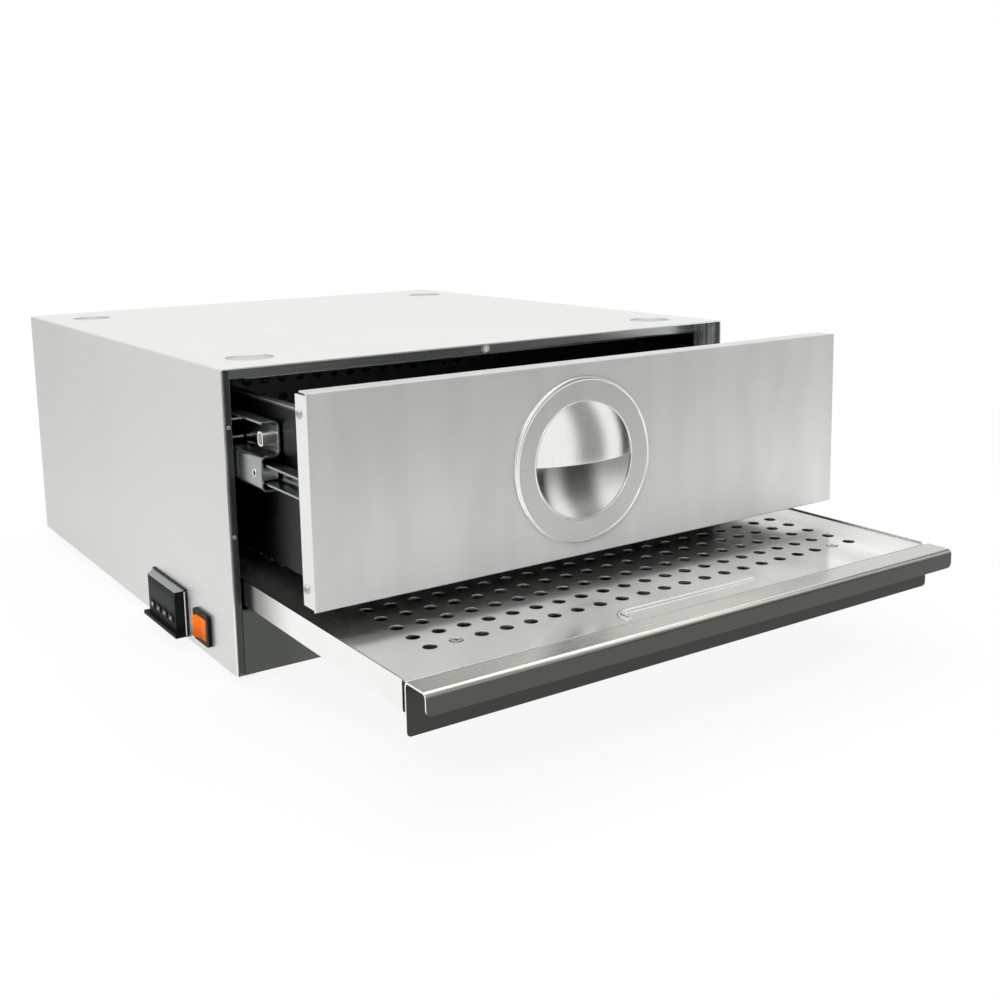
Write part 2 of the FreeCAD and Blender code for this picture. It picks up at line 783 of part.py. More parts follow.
def make_sensors():
    level = "header_low - 2 * probe_radius"
    probe_y = "baffle_y - probe_radius - board_gap"
    bulb = rod("x", ("probe_x", probe_y, level), "probe_radius", "probe_length")
    foot = box(
        ("probe_x + probe_length * 0.4", "probe_x + probe_length * 0.6"),
        (probe_y, "baffle_y"),
        (f"{level} - probe_radius / 2", f"{level} + probe_radius / 2"),
    )
    node("temperature_probe", join(bulb, foot))
    limit_y = "baffle_y + liner"
    body = rod("y", ("limit_x", limit_y, "slide_z"), "limit_radius", "limit_height")
    cap = rod("y", ("limit_x", limit_y, "slide_z"), "limit_radius * 0.7", "limit_height * 1.5")
    node("high_limit_switch", join(body, cap))
    half = "block_length / 2"
    base = box(
        (f"-{half}", half),
        ("heater_y - block_width / 2", "heater_y + block_width / 2"),
        ("floor_top", "floor_top + block_height"),
    )
    wells = []
    for place in row(4, 0.24):
        top = (f"{place} * block_length", "heater_y", "floor_top + block_height + skin")
        wells.append(rod("-z", top, "block_well", "block_height * 0.6"))
    node("terminal_block", cut(base, *wells))


def make_controller():
    length, height = "ctrl_length / 2", "ctrl_height / 2"
    frame = doc.addObject("Part::Wedge", "Frame")
    for prop, text in {
        "Xmin": f"-{height}",
        "Xmax": height,
        "Zmin": f"-{length}",
        "Zmax": length,
        "Ymax": "ctrl_proud",
        "X2min": f"-{height}",
        "X2max": f"{height} - ctrl_top_slope",
        "Z2min": f"-{length} + ctrl_slope",
        "Z2max": f"{length} - ctrl_slope",
    }.items():
        bind(frame, prop, text)
    frame.Ymin = 0
    # The wedge's X is upright, its Y stands out of the left side and its Z runs towards the front
    outwards = FreeCAD.Matrix(0, -1, 0, 0, 0, 0, -1, 0, 1, 0, 0, 0, 0, 0, 0, 1)
    frame.Placement.Rotation = FreeCAD.Placement(outwards).Rotation
    put(frame, "-half_width", "ctrl_y", "ctrl_z")
    ledge = box(
        ("-half_width", "ctrl_x - ctrl_lip"),
        ("ctrl_y - ctrl_length / 2", "ctrl_y + ctrl_length / 2"),
        ("ctrl_z - ctrl_height / 2 - ctrl_lip", "ctrl_z - ctrl_height / 2"),
    )
    window_z = "ctrl_z + window_rise"
    recess = box(
        ("ctrl_x - window_thick", "ctrl_x + window_thick"),
        ("ctrl_y - window_length / 2", "ctrl_y + window_length / 2"),
        (f"{window_z} - window_height / 2", f"{window_z} + window_height / 2"),
    )
    slots = []
    for i, place in enumerate(row(4, 1), start=1):
        y = f"ctrl_y - {place} * button_pitch"
        wide, tall = "button_length / 2", "button_height / 2"
        button = box(
            ("ctrl_x - button_proud", "ctrl_x + button_depth"),
            (f"{y} - {wide}", f"{y} + {wide}"),
            (f"button_z - {tall}", f"button_z + {tall}"),
        )
        node(f"button_{i}", button)
        slots.append(
            box(
                ("ctrl_x - button_proud", "ctrl_x + button_depth + button_travel + button_gap"),
                (f"{y} - {wide} - button_gap", f"{y} + {wide} + button_gap"),
                (f"button_z - {tall} - button_gap", f"button_z + {tall} + button_gap"),
            )
        )
    node("controller_bezel", cut(join(frame, ledge), recess, *slots))
    node(
        "controller_window",
        box(
            ("ctrl_x", "ctrl_x + window_thick"),
            ("ctrl_y - window_length / 2", "ctrl_y + window_length / 2"),
            (f"{window_z} - window_height / 2", f"{window_z} + window_height / 2"),
        ),
    )
    node(
        "controller_case",
        box(
            ("-half_width", "-half_width + case_depth"),
            ("ctrl_y - case_length / 2", "ctrl_y + case_length / 2"),
            ("ctrl_z - case_height / 2", "ctrl_z + case_height / 2"),
        ),
    )


def runs_along_x(edge):
    limits = edge.BoundBox
    return limits.XLength > NEAR and limits.YLength < NEAR and limits.ZLength < NEAR


def make_rocker():
    flange = box(
        ("-half_width - rocker_proud", "-half_width"),
        ("rocker_y - rocker_length / 2", "rocker_y + rocker_length / 2"),
        ("rocker_z - rocker_height / 2", "rocker_z + rocker_height / 2"),
    )
    barrel = box(
        ("-half_width", "-half_width + rocker_depth"),
        ("rocker_y - rocker_body / 2", "rocker_y + rocker_body / 2"),
        ("rocker_z - rocker_body_height / 2", "rocker_z + rocker_body_height / 2"),
    )
    pocket = box(
        ("-half_width - 2 * rocker_proud", "-half_width + rocker_pocket"),
        ("rocker_y - rocker_window / 2", "rocker_y + rocker_window / 2"),
        ("rocker_z - rocker_window_height / 2", "rocker_z + rocker_window_height / 2"),
    )
    plate = rounded(flange, runs_along_x, "rocker_corner")
    node("rocker_housing", cut(join(plate, barrel), pocket))
    # Outline of the paddle about its pivot: outwards is -X, and a shallow valley parts its two faces
    ends = "-paddle_end - paddle_pivot"
    shoulder = "paddle_half - paddle_gap"
    corners = [
        (ends, "-paddle_half"),
        ("-paddle_valley - paddle_pivot", "0"),
        (ends, "paddle_half"),
        ("0", shoulder),
        ("paddle_back - paddle_pivot", "0"),
        ("0", f"-({shoulder})"),
    ]
    tall = "rocker_window_height / 2 - paddle_gap"
    paddle = drawn("z", corners, f"rocker_z - ({tall})", f"rocker_z + ({tall})")
    bind(paddle, "Placement.Rotation.Angle", "paddle_tilt")
    bind(paddle, "Placement.Base.x", "-half_width + paddle_pivot")
    bind(paddle, "Placement.Base.y", "rocker_y")
    node("rocker_paddle", paddle)


# Telescopic slides


def make_slides():
    cages_fixed, cages_drawer = [], []
    shift = "drawer_closing"
    for s, name in ((-1, "left"), (1, "right")):
        nose = "mid_near + slide_nose_gap"
        fixed_top = "mid_top - slide_wall - ball_room"
        fixed_low = "mid_web + slide_wall + ball_room"
        fixed_path = [
            (f"{s} * ({nose})", fixed_top),
            (f"{s} * open_half", fixed_top),
            (f"{s} * open_half", fixed_low),
            (f"{s} * ({nose})", fixed_low),
        ]
        fixed_end = "slide_front + slide_length"
        fixed = folded_sheet("y", fixed_path, "slide_front", fixed_end, -s, "slide_wall", "slide_bend")
        node(f"slide_cabinet_{name}", fixed)
        near = f"{s} * (mid_near - slide_wall)"
        far = f"{s} * mid_far"
        middle_path = [
            (far, "mid_top"),
            (near, "mid_top"),
            (near, "mid_web"),
            (far, "mid_web"),
            (far, "mid_low + slide_wall"),
            (near, "mid_low + slide_wall"),
        ]
        start = f"slide_front - {shift} / 2"
        end = f"{start} + slide_length"
        middle = folded_sheet("y", middle_path, start, end, s, "slide_wall", "slide_bend")
        mouth = (f"{s} * drawer_half", f"{start} + slide_hole_inset", "(mid_web + mid_low) / 2")
        hole = rod("-x" if s < 0 else "x", mouth, "slide_hole", "slide_room")
        node(f"slide_middle_{name}", cut(middle, hole))
        moving_top = "mid_web - ball_room"
        moving_low = "mid_low + slide_wall + ball_room"
        reach = "mid_far - slide_nose_gap"
        moving_path = [
            (f"{s} * ({reach})", moving_top),
            (f"{s} * drawer_half", moving_top),
            (f"{s} * drawer_half", moving_low),
            (f"{s} * ({reach})", moving_low),
        ]
        start = f"slide_front - {shift}"
        end = f"{start} + slide_length"
        moving = folded_sheet("y", moving_path, start, end, s, "slide_wall", "slide_bend")
        node(f"slide_drawer_{name}", moving)
        middle_x = f"{s} * (mid_near + mid_far) / 2"
        for levels, share, cages in (
            (("mid_top - slide_wall", "mid_web + slide_wall + ball_room"), 0.25, cages_fixed),
            (("mid_web", "mid_low + slide_wall + ball_room"), 0.75, cages_drawer),
        ):
            first = f"slide_front + cage_start - {share} * {shift}"
            for level in levels:
                cages.append(ball_cage(middle_x, first, f"{level} - ball_room / 2"))
    node("ball_cages_fixed", gather(*cages_fixed))
    node("ball_cages_drawer", gather(*cages_drawer))


def ball_cage(x, first, z):
    """A strip that carries a row of bearing balls along Y."""
    strip = box(
        (f"{x} - cage_width / 2", f"{x} + cage_width / 2"),
        (first, f"{first} + cage_length"),
        (f"{z} - cage_sheet / 2", f"{z} + cage_sheet / 2"),
    )
    count = int(number("cage_length / ball_pitch"))
    balls = [ball((x, f"{first} + {i + 0.5} * ball_pitch", z), "ball_radius") for i in range(count)]
    return join(strip, *balls)


# Drawer


def make_drawer_front():
    face = box(("-panel_half", "panel_half"), ("panel_y", "panel_y + skin"), ("panel_low", "panel_top"))
    depth = ("panel_y", "panel_back")
    flanges = []
    for s in (-1, 1):
        side = (f"{s} * panel_half", f"{s} * (panel_half - skin)")
        flanges.append(box(side, depth, ("panel_low + corner_relief", "panel_top - corner_relief")))
    inset = "panel_half - skin - corner_relief"
    for outer, inner in (("panel_top", "panel_top - skin"), ("panel_low", "panel_low + skin")):
        flanges.append(box((f"-({inset})", inset), depth, (outer, inner)))
    ring = rod("-y", ("-pull_offset", "panel_y + skin", "pull_z"), "ring_radius", "skin + ring_rise")
    hole = rod("-y", ("-pull_offset", "panel_back", "pull_z"), "pull_radius", "2 * panel_thick")
    holes = [screw_hole(a, x, y, z) for a, x, y, z in flange_screws()]
    pan = cut(join(face, *flanges, ring), hole, *holes)

    def on_front(edge):
        box_of_edge = edge.BoundBox
        flat = max(abs(box_of_edge.YMin - front), abs(box_of_edge.YMax - front)) < NEAR
        straight = isinstance(edge.Curve, (Part.Line, Part.LineSegment))
        return flat and straight

    def on_ring(edge):
        box_of_edge = edge.BoundBox
        return abs(box_of_edge.YMax - crown) < NEAR and box_of_edge.XLength > number("2 * pull_radius") + NEAR

    front = number("panel_y")
    crown = number("ring_y")
    soft_ring = rounded(pan, on_ring, "ring_rise * 0.8")
    node("drawer_front", rounded(soft_ring, on_front, "bend_radius"))


def flange_screws():
    """Screws through the front pan's side flanges into the backer."""
    spots = []
    for s, axis in ((-1, "-x"), (1, "x")):
        for z in ("panel_low + flange_screw_inset", "panel_top - flange_screw_inset"):
            spots.append((axis, f"{s} * panel_half", "panel_back - backer_return / 2", z))
    return spots


def make_backer():
    side = "panel_half - skin"
    path = [
        (f"-({side})", "panel_back - backer_return"),
        (f"-({side})", "panel_back"),
        (side, "panel_back"),
        (side, "panel_back - backer_return"),
    ]
    low, high = "panel_low + skin + corner_relief", "panel_top - skin - corner_relief"
    sheet = folded_sheet("z", path, low, high, side=-1)
    node("drawer_backer", cut(sheet, *(screw_hole(a, x, y, z) for a, x, y, z in flange_screws())))
    node("drawer_screws", gather(*(screw(a, x, y, z) for a, x, y, z in flange_screws())))


def make_pull():
    """The round pull: a hood that bulges out of the upper half and a cup that sinks behind the lower half."""
    x = "-pull_offset"
    front = (x, "ring_y", "pull_z")
    reach = "2 * pull_radius"
    across = (f"{x} - {reach}", f"{x} + {reach}")
    hood_radius = "(cup_rim ^ 2 + hood_bulge ^ 2) / (2 * hood_bulge)"
    hood_centre = (x, f"ring_y - hood_bulge + {hood_radius}", "pull_z")
    dome = cut(ball(hood_centre, hood_radius), ball(hood_centre, f"{hood_radius} - skin"))
    upper = box(across, ("ring_y", "ring_y - 2 * hood_bulge"), ("pull_z", f"pull_z + {reach}"))
    node("pull_hood", common(dome, upper))
    cup_radius = "(cup_rim ^ 2 + cup_depth ^ 2) / (2 * cup_depth)"
    cup_centre = (x, f"ring_y + cup_depth - {cup_radius}", "pull_z")
    bowl = cut(ball(cup_centre, f"{cup_radius} + cup_sheet"), ball(cup_centre, cup_radius))
    dish = common(bowl, rod("y", front, "cup_rim", "2 * cup_depth"))
    back = "ring_rise + skin + cup_sheet"
    collar = cut(rod("y", front, "cup_rim", back), rod("y", front, "cup_rim - cup_sheet", f"2 * ({back})"))
    seat = (x, "panel_y + skin", "pull_z")
    flange = cut(
        rod("y", seat, "pull_radius + cup_flange", "cup_sheet"),
        rod("y", seat, "cup_rim - cup_sheet", "2 * cup_sheet"),
    )
    node("pull_cup", join(dish, collar, flange))


def make_drawer_box():
    for s, name in ((-1, "left"), (1, "right")):
        path = [
            (f"{s} * drawer_half", "drawer_low"),
            (f"{s} * drawer_half", "drawer_rim"),
            (f"{s} * (drawer_half - drawer_rim_width)", "drawer_rim"),
        ]
        node(f"drawer_side_{name}", folded_sheet("y", path, "panel_back", "drawer_end", s))
    width = 2 * number("drawer_half - skin")
    margin = number("edge_margin")
    radius = number("hole_radius")
    skin = number("skin")
    pitch = number("floor_pitch")
    length = number("drawer_end - panel_back")
    columns = row(int((width - 2 * margin) // pitch) + 1, pitch)
    rows = [length / 2 + y for y in row(int((length - 2 * margin) // pitch) + 1, pitch)]
    floor = perforated(width, length, skin, columns, rows, radius)
    node("drawer_floor", feature(floor, base=FreeCAD.Vector(0, number("panel_back"), number("drawer_low"))))
    pitch = number("hole_pitch")
    height = number("drawer_rim - drawer_low - 2 * skin - bend_radius")
    columns = row(int((width - 2 * margin) // pitch) + 1, pitch)
    rows = [height / 2 + z for z in row(int((height - 2 * margin) // pitch) + 1, pitch)]
    back = perforated(width, height, skin, columns, rows, radius)
    upright = FreeCAD.Rotation(FreeCAD.Vector(1, 0, 0), 90)
    base = FreeCAD.Vector(0, number("drawer_end"), number("drawer_low + skin"))
    node("drawer_back", feature(back, upright, base))
    brackets = []
    for s in (-1, 1):
        corner = f"{s} * (drawer_half + skin)"
        bracket_path = [
            (corner, "panel_back + bracket_leg"),
            (corner, "panel_back"),
            (f"{s} * (drawer_half + skin + bracket_leg)", "panel_back"),
        ]
        top = "mid_low - bracket_gap"
        brackets.append(folded_sheet("z", bracket_path, f"{top} - bracket_height", top, s))
    node("front_brackets", gather(*brackets))


# Tray


def make_tray():
    pan_path = [
        ("-tray_half", "tray_top"),
        ("-tray_half", "tray_low"),
        ("tray_half", "tray_low"),
        ("tray_half", "tray_top"),
    ]
    node("tray_pan", folded_sheet("y", pan_path, "pan_front", "tray_end", side=1))
    inner = "tray_half - skin"
    high = ("tray_low + skin + bend_radius", "insert_top - 2 * skin")
    node("tray_back", box((f"-({inner})", inner), ("tray_end - skin", "tray_end"), high))
    front_path = [
        ("lip_y", "tray_top - lip_drop"),
        ("lip_y", "tray_top"),
        ("tray_wall_y + skin", "tray_top"),
        ("tray_wall_y + skin", "wall_low"),
    ]
    front = folded_sheet("x", front_path, "-tray_half", "tray_half", side=-1, bend="lip_bend")
    for level, radius in (("wall_low", "tray_wall_corner"), ("tray_top - lip_drop", "lip_corner")):
        front = rounded(front, lower_corner(number(level)), radius)
    node("tray_front", front)
    node("tray_insert", make_insert())
    pins = []
    columns = insert_columns()
    for column in (columns[1], columns[-2]):
        spot = (str(column), "lip_y + tray_first_row")
        foot = (*spot, "tray_low + skin")
        post = rod("z", foot, "post_radius", "insert_top - tray_low - 2 * skin - insert_gap")
        peg = rod("z", foot, "peg_radius", "insert_top + peg_rise - tray_low - skin")
        hollow = rod("-z", (*spot, "insert_top + 2 * peg_rise"), "peg_radius * 0.4", "peg_radius")
        pins.append(cut(join(post, peg), hollow))
    node("insert_pins", gather(*pins))


def lower_corner(level):
    """A test for the short edges across a sheet's free lower edge at a level."""

    def is_corner(edge):
        limits = edge.BoundBox
        return abs(limits.ZMax - level) < NEAR and limits.YLength > NEAR and limits.XLength < NEAR

    return is_corner


def insert_columns():
    """Where the insert's columns of holes stand across the tray."""
    pitch = number("hole_pitch")
    return row(int(number("2 * (insert_half - edge_margin)") // pitch) - 1, pitch)


def make_insert():
    """The perforated cover: holed sheet, two legs that stand on the pan and a pressed grip bead."""
    half = number("insert_half")
    skin = number("skin")
    start = number("insert_front")
    end = number("tray_end") - 2 * skin
    top = number("insert_top")
    row_pitch = number("tray_row_pitch")
    rows = [number("lip_y + tray_first_row") - start]
    while rows[-1] + row_pitch < end - start - number("edge_margin"):
        rows.append(rows[-1] + row_pitch)
    sheet = perforated(2 * half, end - start, skin, insert_columns(), rows, number("hole_radius"))
    sheet.translate(FreeCAD.Vector(0, start, top - skin))
    leg_height = top - skin - number("tray_low + skin + insert_gap")
    pieces = []
    for x in (-half, half - skin):
        corner = FreeCAD.Vector(x, start + number("insert_leg"), top - skin - leg_height)
        pieces.append(Part.makeBox(skin, end - start - 2 * number("insert_leg"), leg_height, corner))
    pieces += grip_bead(start, top - skin / 2)
    return feature(sheet.multiFuse(pieces).removeSplitter())


def grip_bead(start, level):
    """A half-round ridge across the cover, turned to the front at its left end."""
    radius = number("bead_radius")
    corner = number("bead_corner")
    across = number("bead_half")
    reach = start + number("bead_reach")
    up = FreeCAD.Vector(0, 0, 1)
    middle = FreeCAD.Vector(corner - across, reach - corner, level)
    bend = Part.makeTorus(corner, radius, FreeCAD.Vector(), up, 0, 360, 90)
    bend.rotate(FreeCAD.Vector(), up, 90)
    bend.translate(middle)
    ridge_start = FreeCAD.Vector(corner - across, reach, level)
    ridge = Part.makeCylinder(radius, 2 * across - corner, ridge_start, FreeCAD.Vector(1, 0, 0))
    arm_start = FreeCAD.Vector(-across, reach - corner, level)
    arm = Part.makeCylinder(radius, reach - corner - start - radius, arm_start, FreeCAD.Vector(0, -1, 0))
    return [bend, ridge, arm, Part.makeSphere(radius, FreeCAD.Vector(across, reach, level))]


def make_glides():
    strips = []
    for s in (-1, 1):
        across = (f"{s} * tray_half", f"{s} * (tray_half - glide_width)")
        strips.append(box(across, ("liner_front", "baffle_y"), ("sill_top", "sill_top + glide_thick")))
    node("tray_glides", gather(*strips))


def check_document():
    doc.removeObject("Trial")
    doc.recompute()
    for thing in doc.Objects:
        if {"Invalid", "Error"} & set(thing.State):
            raise RuntimeError(f"{thing.Label} failed: {thing.State}")
    for label, thing in nodes.items():
        if thing.Shape.isNull() or not thing.Shape.isValid() or not thing.Shape.Solids:
            raise RuntimeError(f"{label} has no valid solid")


def write_steps():
    os.makedirs("parts", exist_ok=True)
    for label, thing in nodes.items():
        thing.Shape.exportStep(f"parts/{label}.step")


def main():
    fill_sheets()
    make_wrap()
    make_base()
    make_front_frame()
    make_back()
    make_liner()
    make_baffle()
    make_heater()
    make_sensors()
    make_controller()
    make_rocker()
    make_slides()
    make_drawer_front()
    make_backer()
    make_pull()
    make_drawer_box()
    make_tray()
    make_glides()
    doc.recompute()
    check_document()
    write_steps()
    for label, thing in nodes.items():
        print(label, len(thing.Shape.Solids), round(thing.Shape.Volume / 1000, 2), "cm3")


main()
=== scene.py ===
"""Looks of the heated drawer cabinet: finishes, small details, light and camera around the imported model."""

import math

import bmesh
import bpy
from mathutils import Matrix, Vector


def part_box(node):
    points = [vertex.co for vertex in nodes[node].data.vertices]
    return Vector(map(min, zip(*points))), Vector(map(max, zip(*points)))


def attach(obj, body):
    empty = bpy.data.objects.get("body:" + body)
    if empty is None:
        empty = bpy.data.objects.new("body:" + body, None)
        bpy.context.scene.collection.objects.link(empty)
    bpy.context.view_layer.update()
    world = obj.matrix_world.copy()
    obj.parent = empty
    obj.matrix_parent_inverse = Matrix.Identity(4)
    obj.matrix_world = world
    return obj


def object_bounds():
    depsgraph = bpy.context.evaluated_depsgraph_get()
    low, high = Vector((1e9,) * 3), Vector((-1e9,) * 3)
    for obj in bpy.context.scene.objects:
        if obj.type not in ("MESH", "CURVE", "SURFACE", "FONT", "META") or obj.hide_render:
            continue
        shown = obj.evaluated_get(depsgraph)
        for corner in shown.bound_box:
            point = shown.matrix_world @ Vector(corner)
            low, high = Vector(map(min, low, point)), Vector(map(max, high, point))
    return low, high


# Camera: metres, degrees, and millimetres of lens and sensor.
CAMERA_PLACE = (-0.5586, -1.0891, 0.3545)
CAMERA_AZIMUTH = -33.862
CAMERA_ELEVATION = 9.415
CAMERA_ROLL = -1.072
CAMERA_LENS = 44.77
CAMERA_SENSOR = 36.0
CAMERA_SHIFT = (0.0007, -0.101)
CAMERA_NEAR = 0.01

# Studio. The floor's fade is a run from its middle and the share of plain white at either end.
# Flags: name, bearing and width in degrees, tone. Lamps: name, place, aim, size, power.
WHITE = (1.0, 1.0, 1.0, 1.0)
WORLD_LIGHT = 0.7
FLOOR_SIZE = 12.0
FLOOR_COLOUR = (0.9, 0.9, 0.9, 1.0)
FLOOR_ROUGHNESS = 0.9
FLOOR_FADE = (0.55, 1.25, 0.89, 1.0)
FLAG_DISTANCE = 0.75
FLAG_HEIGHT = 1.6
FLAG_RISE = 0.005
FLAG_CORE = 0.30
FLAGS = (
    ("flag_front", 36.0, 48.0, 0.34),
    ("flag_right", 84.0, 26.0, 0.05),
    ("flag_left", -36.0, 26.0, 0.25),
)
LAMPS = (
    ("overhead", (0.1, 0.2, 2.4), (0.0, -0.1, 0.1), 2.4, 30.0),
    ("key", (-1.4, -1.7, 1.9), (-0.1, -0.2, 0.15), 1.4, 14.0),
)

# Textures of the finishes: waves per metre, and the strength and depth of their bumps.
NOISE_RANGE = (0.3, 0.7)
BRUSH_ACROSS = 1400.0
BRUSH_ALONG = 9.0
BRUSH_BUMP = (0.06, 0.0004)
CLOUDS = (7.0, 7.0, 7.0)
CLOUD_SHARE = 0.35
SMEARS = (26.0, 26.0, 26.0)
DENTS = (300.0, 300.0, 300.0)
DENT_BUMP = (0.03, 0.0002)
SPECKLE = (1600.0, 1600.0, 1600.0)
SPECKLE_BUMP = (0.12, 0.0003)
EDGE_SAMPLES = 6
FRONT_WAVES = (38.0, 1.0, 9.0)
WAVE_DEPTH = 0.05
INSERT_STREAKS = (26.0, 5.0, 1.0)
STREAK_DEPTH = 0.16
STILE_STREAKS = (60.0, 260.0, 1.0)
STILE_STREAK_SHADES = (0.35, 0.65, 0.5, 1.6)

# Runs of a part of the surface normal, from one facing to another.
SIDEWAYS = (0.5, 0.9)
UPWARDS = (0.3, 0.9)
LIP_UPWARDS = (0.15, 0.85)
BEZEL_UPWARDS = (0.2, 0.4)
OFF_FRONT = (-0.6, -0.2)

# Most shades below are painted light and shade.
# Shades multiply a finish's colour. Fours are the start and end of a run and the shade at either;
# pairs are a run alone, or the shades at a piece's two ends.
# Painted highlight on cut sheet ends and flanges that face the sides.
PAINTED_CUT_HIGHLIGHT = 1.6
FOOT_RADIUS = 0.015
DIMPLE_RADIUS = 0.0185
# Duller dimple discs, and painted shade on the dimples' slopes that damps a lamp's highlight there.
DIMPLE_DISC = (-0.004, 0.001, 0.70, 1.0)
DIMPLE_RIM = (0.001, 0.002)
DIMPLE_SLOPE = (0.90, 0.97, 0.60, 1.0)
DIMPLE_LEVEL = (0.9, 0.95)
# Painted light on the case: a lighter top, sides duller to the back and up, and a painted highlight on its
# front cut edges.
TOP_SHADE = 1.10
SIDE_LENGTH = (-0.26, 0.26, 1.06, 0.88)
SIDE_HEIGHT = (0.02, 0.22, 1.08, 0.95)
CASE_EDGE = (-0.9, -0.6, 1.5, 1.0)
# Painted light and shade on the tray's lip: painted shade on its drop and wall, a painted highlight on its top.
LIP_DROP = (0.006, 0.012, 0.15, 0.09)
LIP_TOP = (0.02, 0.20, 1.60, 0.88)
LIP_BRIGHT_X = -0.06
RING_MARGIN = 0.0100
RING_EDGE = (-0.002, 0.0, 0.90, 1.0)
# Painted light on the drawer front, lighter to its lower right.
FRONT_RISE = (1.25, 0.93)
FRONT_ACROSS = (0.97, 1.22)
# Painted shade in the cup.
CUP_RISE = (-0.034, -0.004, 1.0, 0.36)
CUP_BAND = (0.006, 0.024, 0.52, 1.0)
CUP_BAND_RISE = (-0.038, -0.022)
# Painted light on the tray's cover, lighter to its front and left, with painted highlights on its rims.
INSERT_NEAR = (0.015, 0.085, 1.42, 1.0)
INSERT_ACROSS = (1.50, 0.84)
INSERT_RIMS = (0.6, 0.98, 1.5, 1.0)
# Painted highlight on the tray's walls outside, painted shade where they enter the cabinet.
PAN_WALLS = (-0.09, -0.012, PAINTED_CUT_HIGHLIGHT, 0.25)
# Painted light on the stiles' returns.
PAINTED_RETURN_LIGHT = 14.5
# Painted light on the sill.
SILL_RUN = (0.03, 0.11, 1.0, 1.7)
# Painted light on the header, either side of a dark stretch.
HEADER_DARK_X = -0.06
HEADER_RUN = (0.0, 0.16, 1.0, 1.5)
# Painted highlight on the header's screw.
SCREW_RUN = (0.014, 0.017, 5.0, 1.0)
# Painted highlight on the slides' cut front ends.
ZINC_EDGE = (-0.9, -0.5, 2.2, 1.0)
# Painted light on the bezel's sloping top.
BEZEL_UPPER = (0.0, 0.002)
PAINTED_BEZEL_LIGHT = 60.0
# Painted light on the paddle's top.
PADDLE_RISE = (0.55, 1.15)
# Painted shade and light on the drawer box: darker outer walls, lighter inner walls, floor and outer rim.
BOX_INSIDE = (-0.15, -0.05, 3.0, 1.0)
BOX_OUTSIDE = (0.02, 0.08, 1.0, 0.28)
BOX_LEVEL = (-0.02, -0.01)
PAINTED_RIM_AND_FLOOR_LIGHT = 8.0
RIM_EDGE = (-0.0035, -0.0025, 1.0, PAINTED_RIM_AND_FLOOR_LIGHT)

# Small details, in metres.
SIDES = ((-1, "left"), (1, "right"))
BEAD_TURN = 2.6
RING_BEAD_BACK = 0.0008
RING_BEAD_INSET = 0.0009
RING_BEAD_TUBE = 0.0014
RING_BEAD_SWELL = 0.9
PULL_BEAD_OUTSET = 0.0003
PULL_BEAD_TUBE = 0.0006
SEAM_GAPS = (0.001, 0.002)
SEAM_DEPTH = (-0.00025, 0.0002)
SEAM_HEIGHT = (-0.0004, 0.0002)
SEAM_SOFT = 0.0001
STRIP_SOFT = 0.0003
STRIP_INSET = 0.001
STRIP_EDGE = (-0.0010, -0.0001, 0.0022)
STRIP_SEAL = (-0.0024, -0.0010, 0.0016)
SEAL_RISE = 0.0014
SEAL_INSET = 0.002
# A bright strip on the bezel's top, a painted highlight.
GLANCE_OUT = 0.0006
GLANCE_INSET = 0.0005
GLANCE_HEIGHT = 0.0012
GLANCE_SOFT = 0.0002
MARK_PROUD = 0.00015
MARK_SQUARE = ((-0.0012, -0.0012), (0.0012, -0.0012), (0.0012, 0.0012), (-0.0012, 0.0012))
MARK_RIGHT = ((-0.0014, -0.0014), (0.0012, 0.0), (-0.0014, 0.0014))
MARK_UP = ((-0.0016, -0.0011), (0.0016, -0.0011), (0.0, 0.0014))
MARK_DOWN = tuple((u, -v) for u, v in reversed(MARK_UP))
# Dark sheets of painted shade behind the vents.
SHADE_SHEET_DEPTH = (-0.0008, -0.0001)
SHADE_SHEET_SOFT = 0.0002
VENT_CLIP = 0.0125
VENT_INNER = 0.037
VENT_TOP = 0.047
VENT_BOTTOM = 0.105
SLIDE_WALL = 0.0015
STOP_INSET = 0.0006
STOP_LENGTH = 0.0110
STOP_DEPTH = 0.0090
STOP_HALF = 0.0052
STOP_BORE = 0.72
STOP_SIDES = 32
STOP_POWER = 3.0
RIVET_RADIUS = 0.0026
RIVET_TUBE = 0.0005
RIVET_INSET = 0.012
RIVET_AROUND = 32

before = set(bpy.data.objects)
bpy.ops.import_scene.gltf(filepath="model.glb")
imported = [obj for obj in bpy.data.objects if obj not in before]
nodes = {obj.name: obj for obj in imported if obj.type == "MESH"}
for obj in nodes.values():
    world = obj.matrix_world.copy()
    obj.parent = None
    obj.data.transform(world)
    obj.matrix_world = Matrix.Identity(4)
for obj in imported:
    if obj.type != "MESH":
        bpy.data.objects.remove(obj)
cad_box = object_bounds()


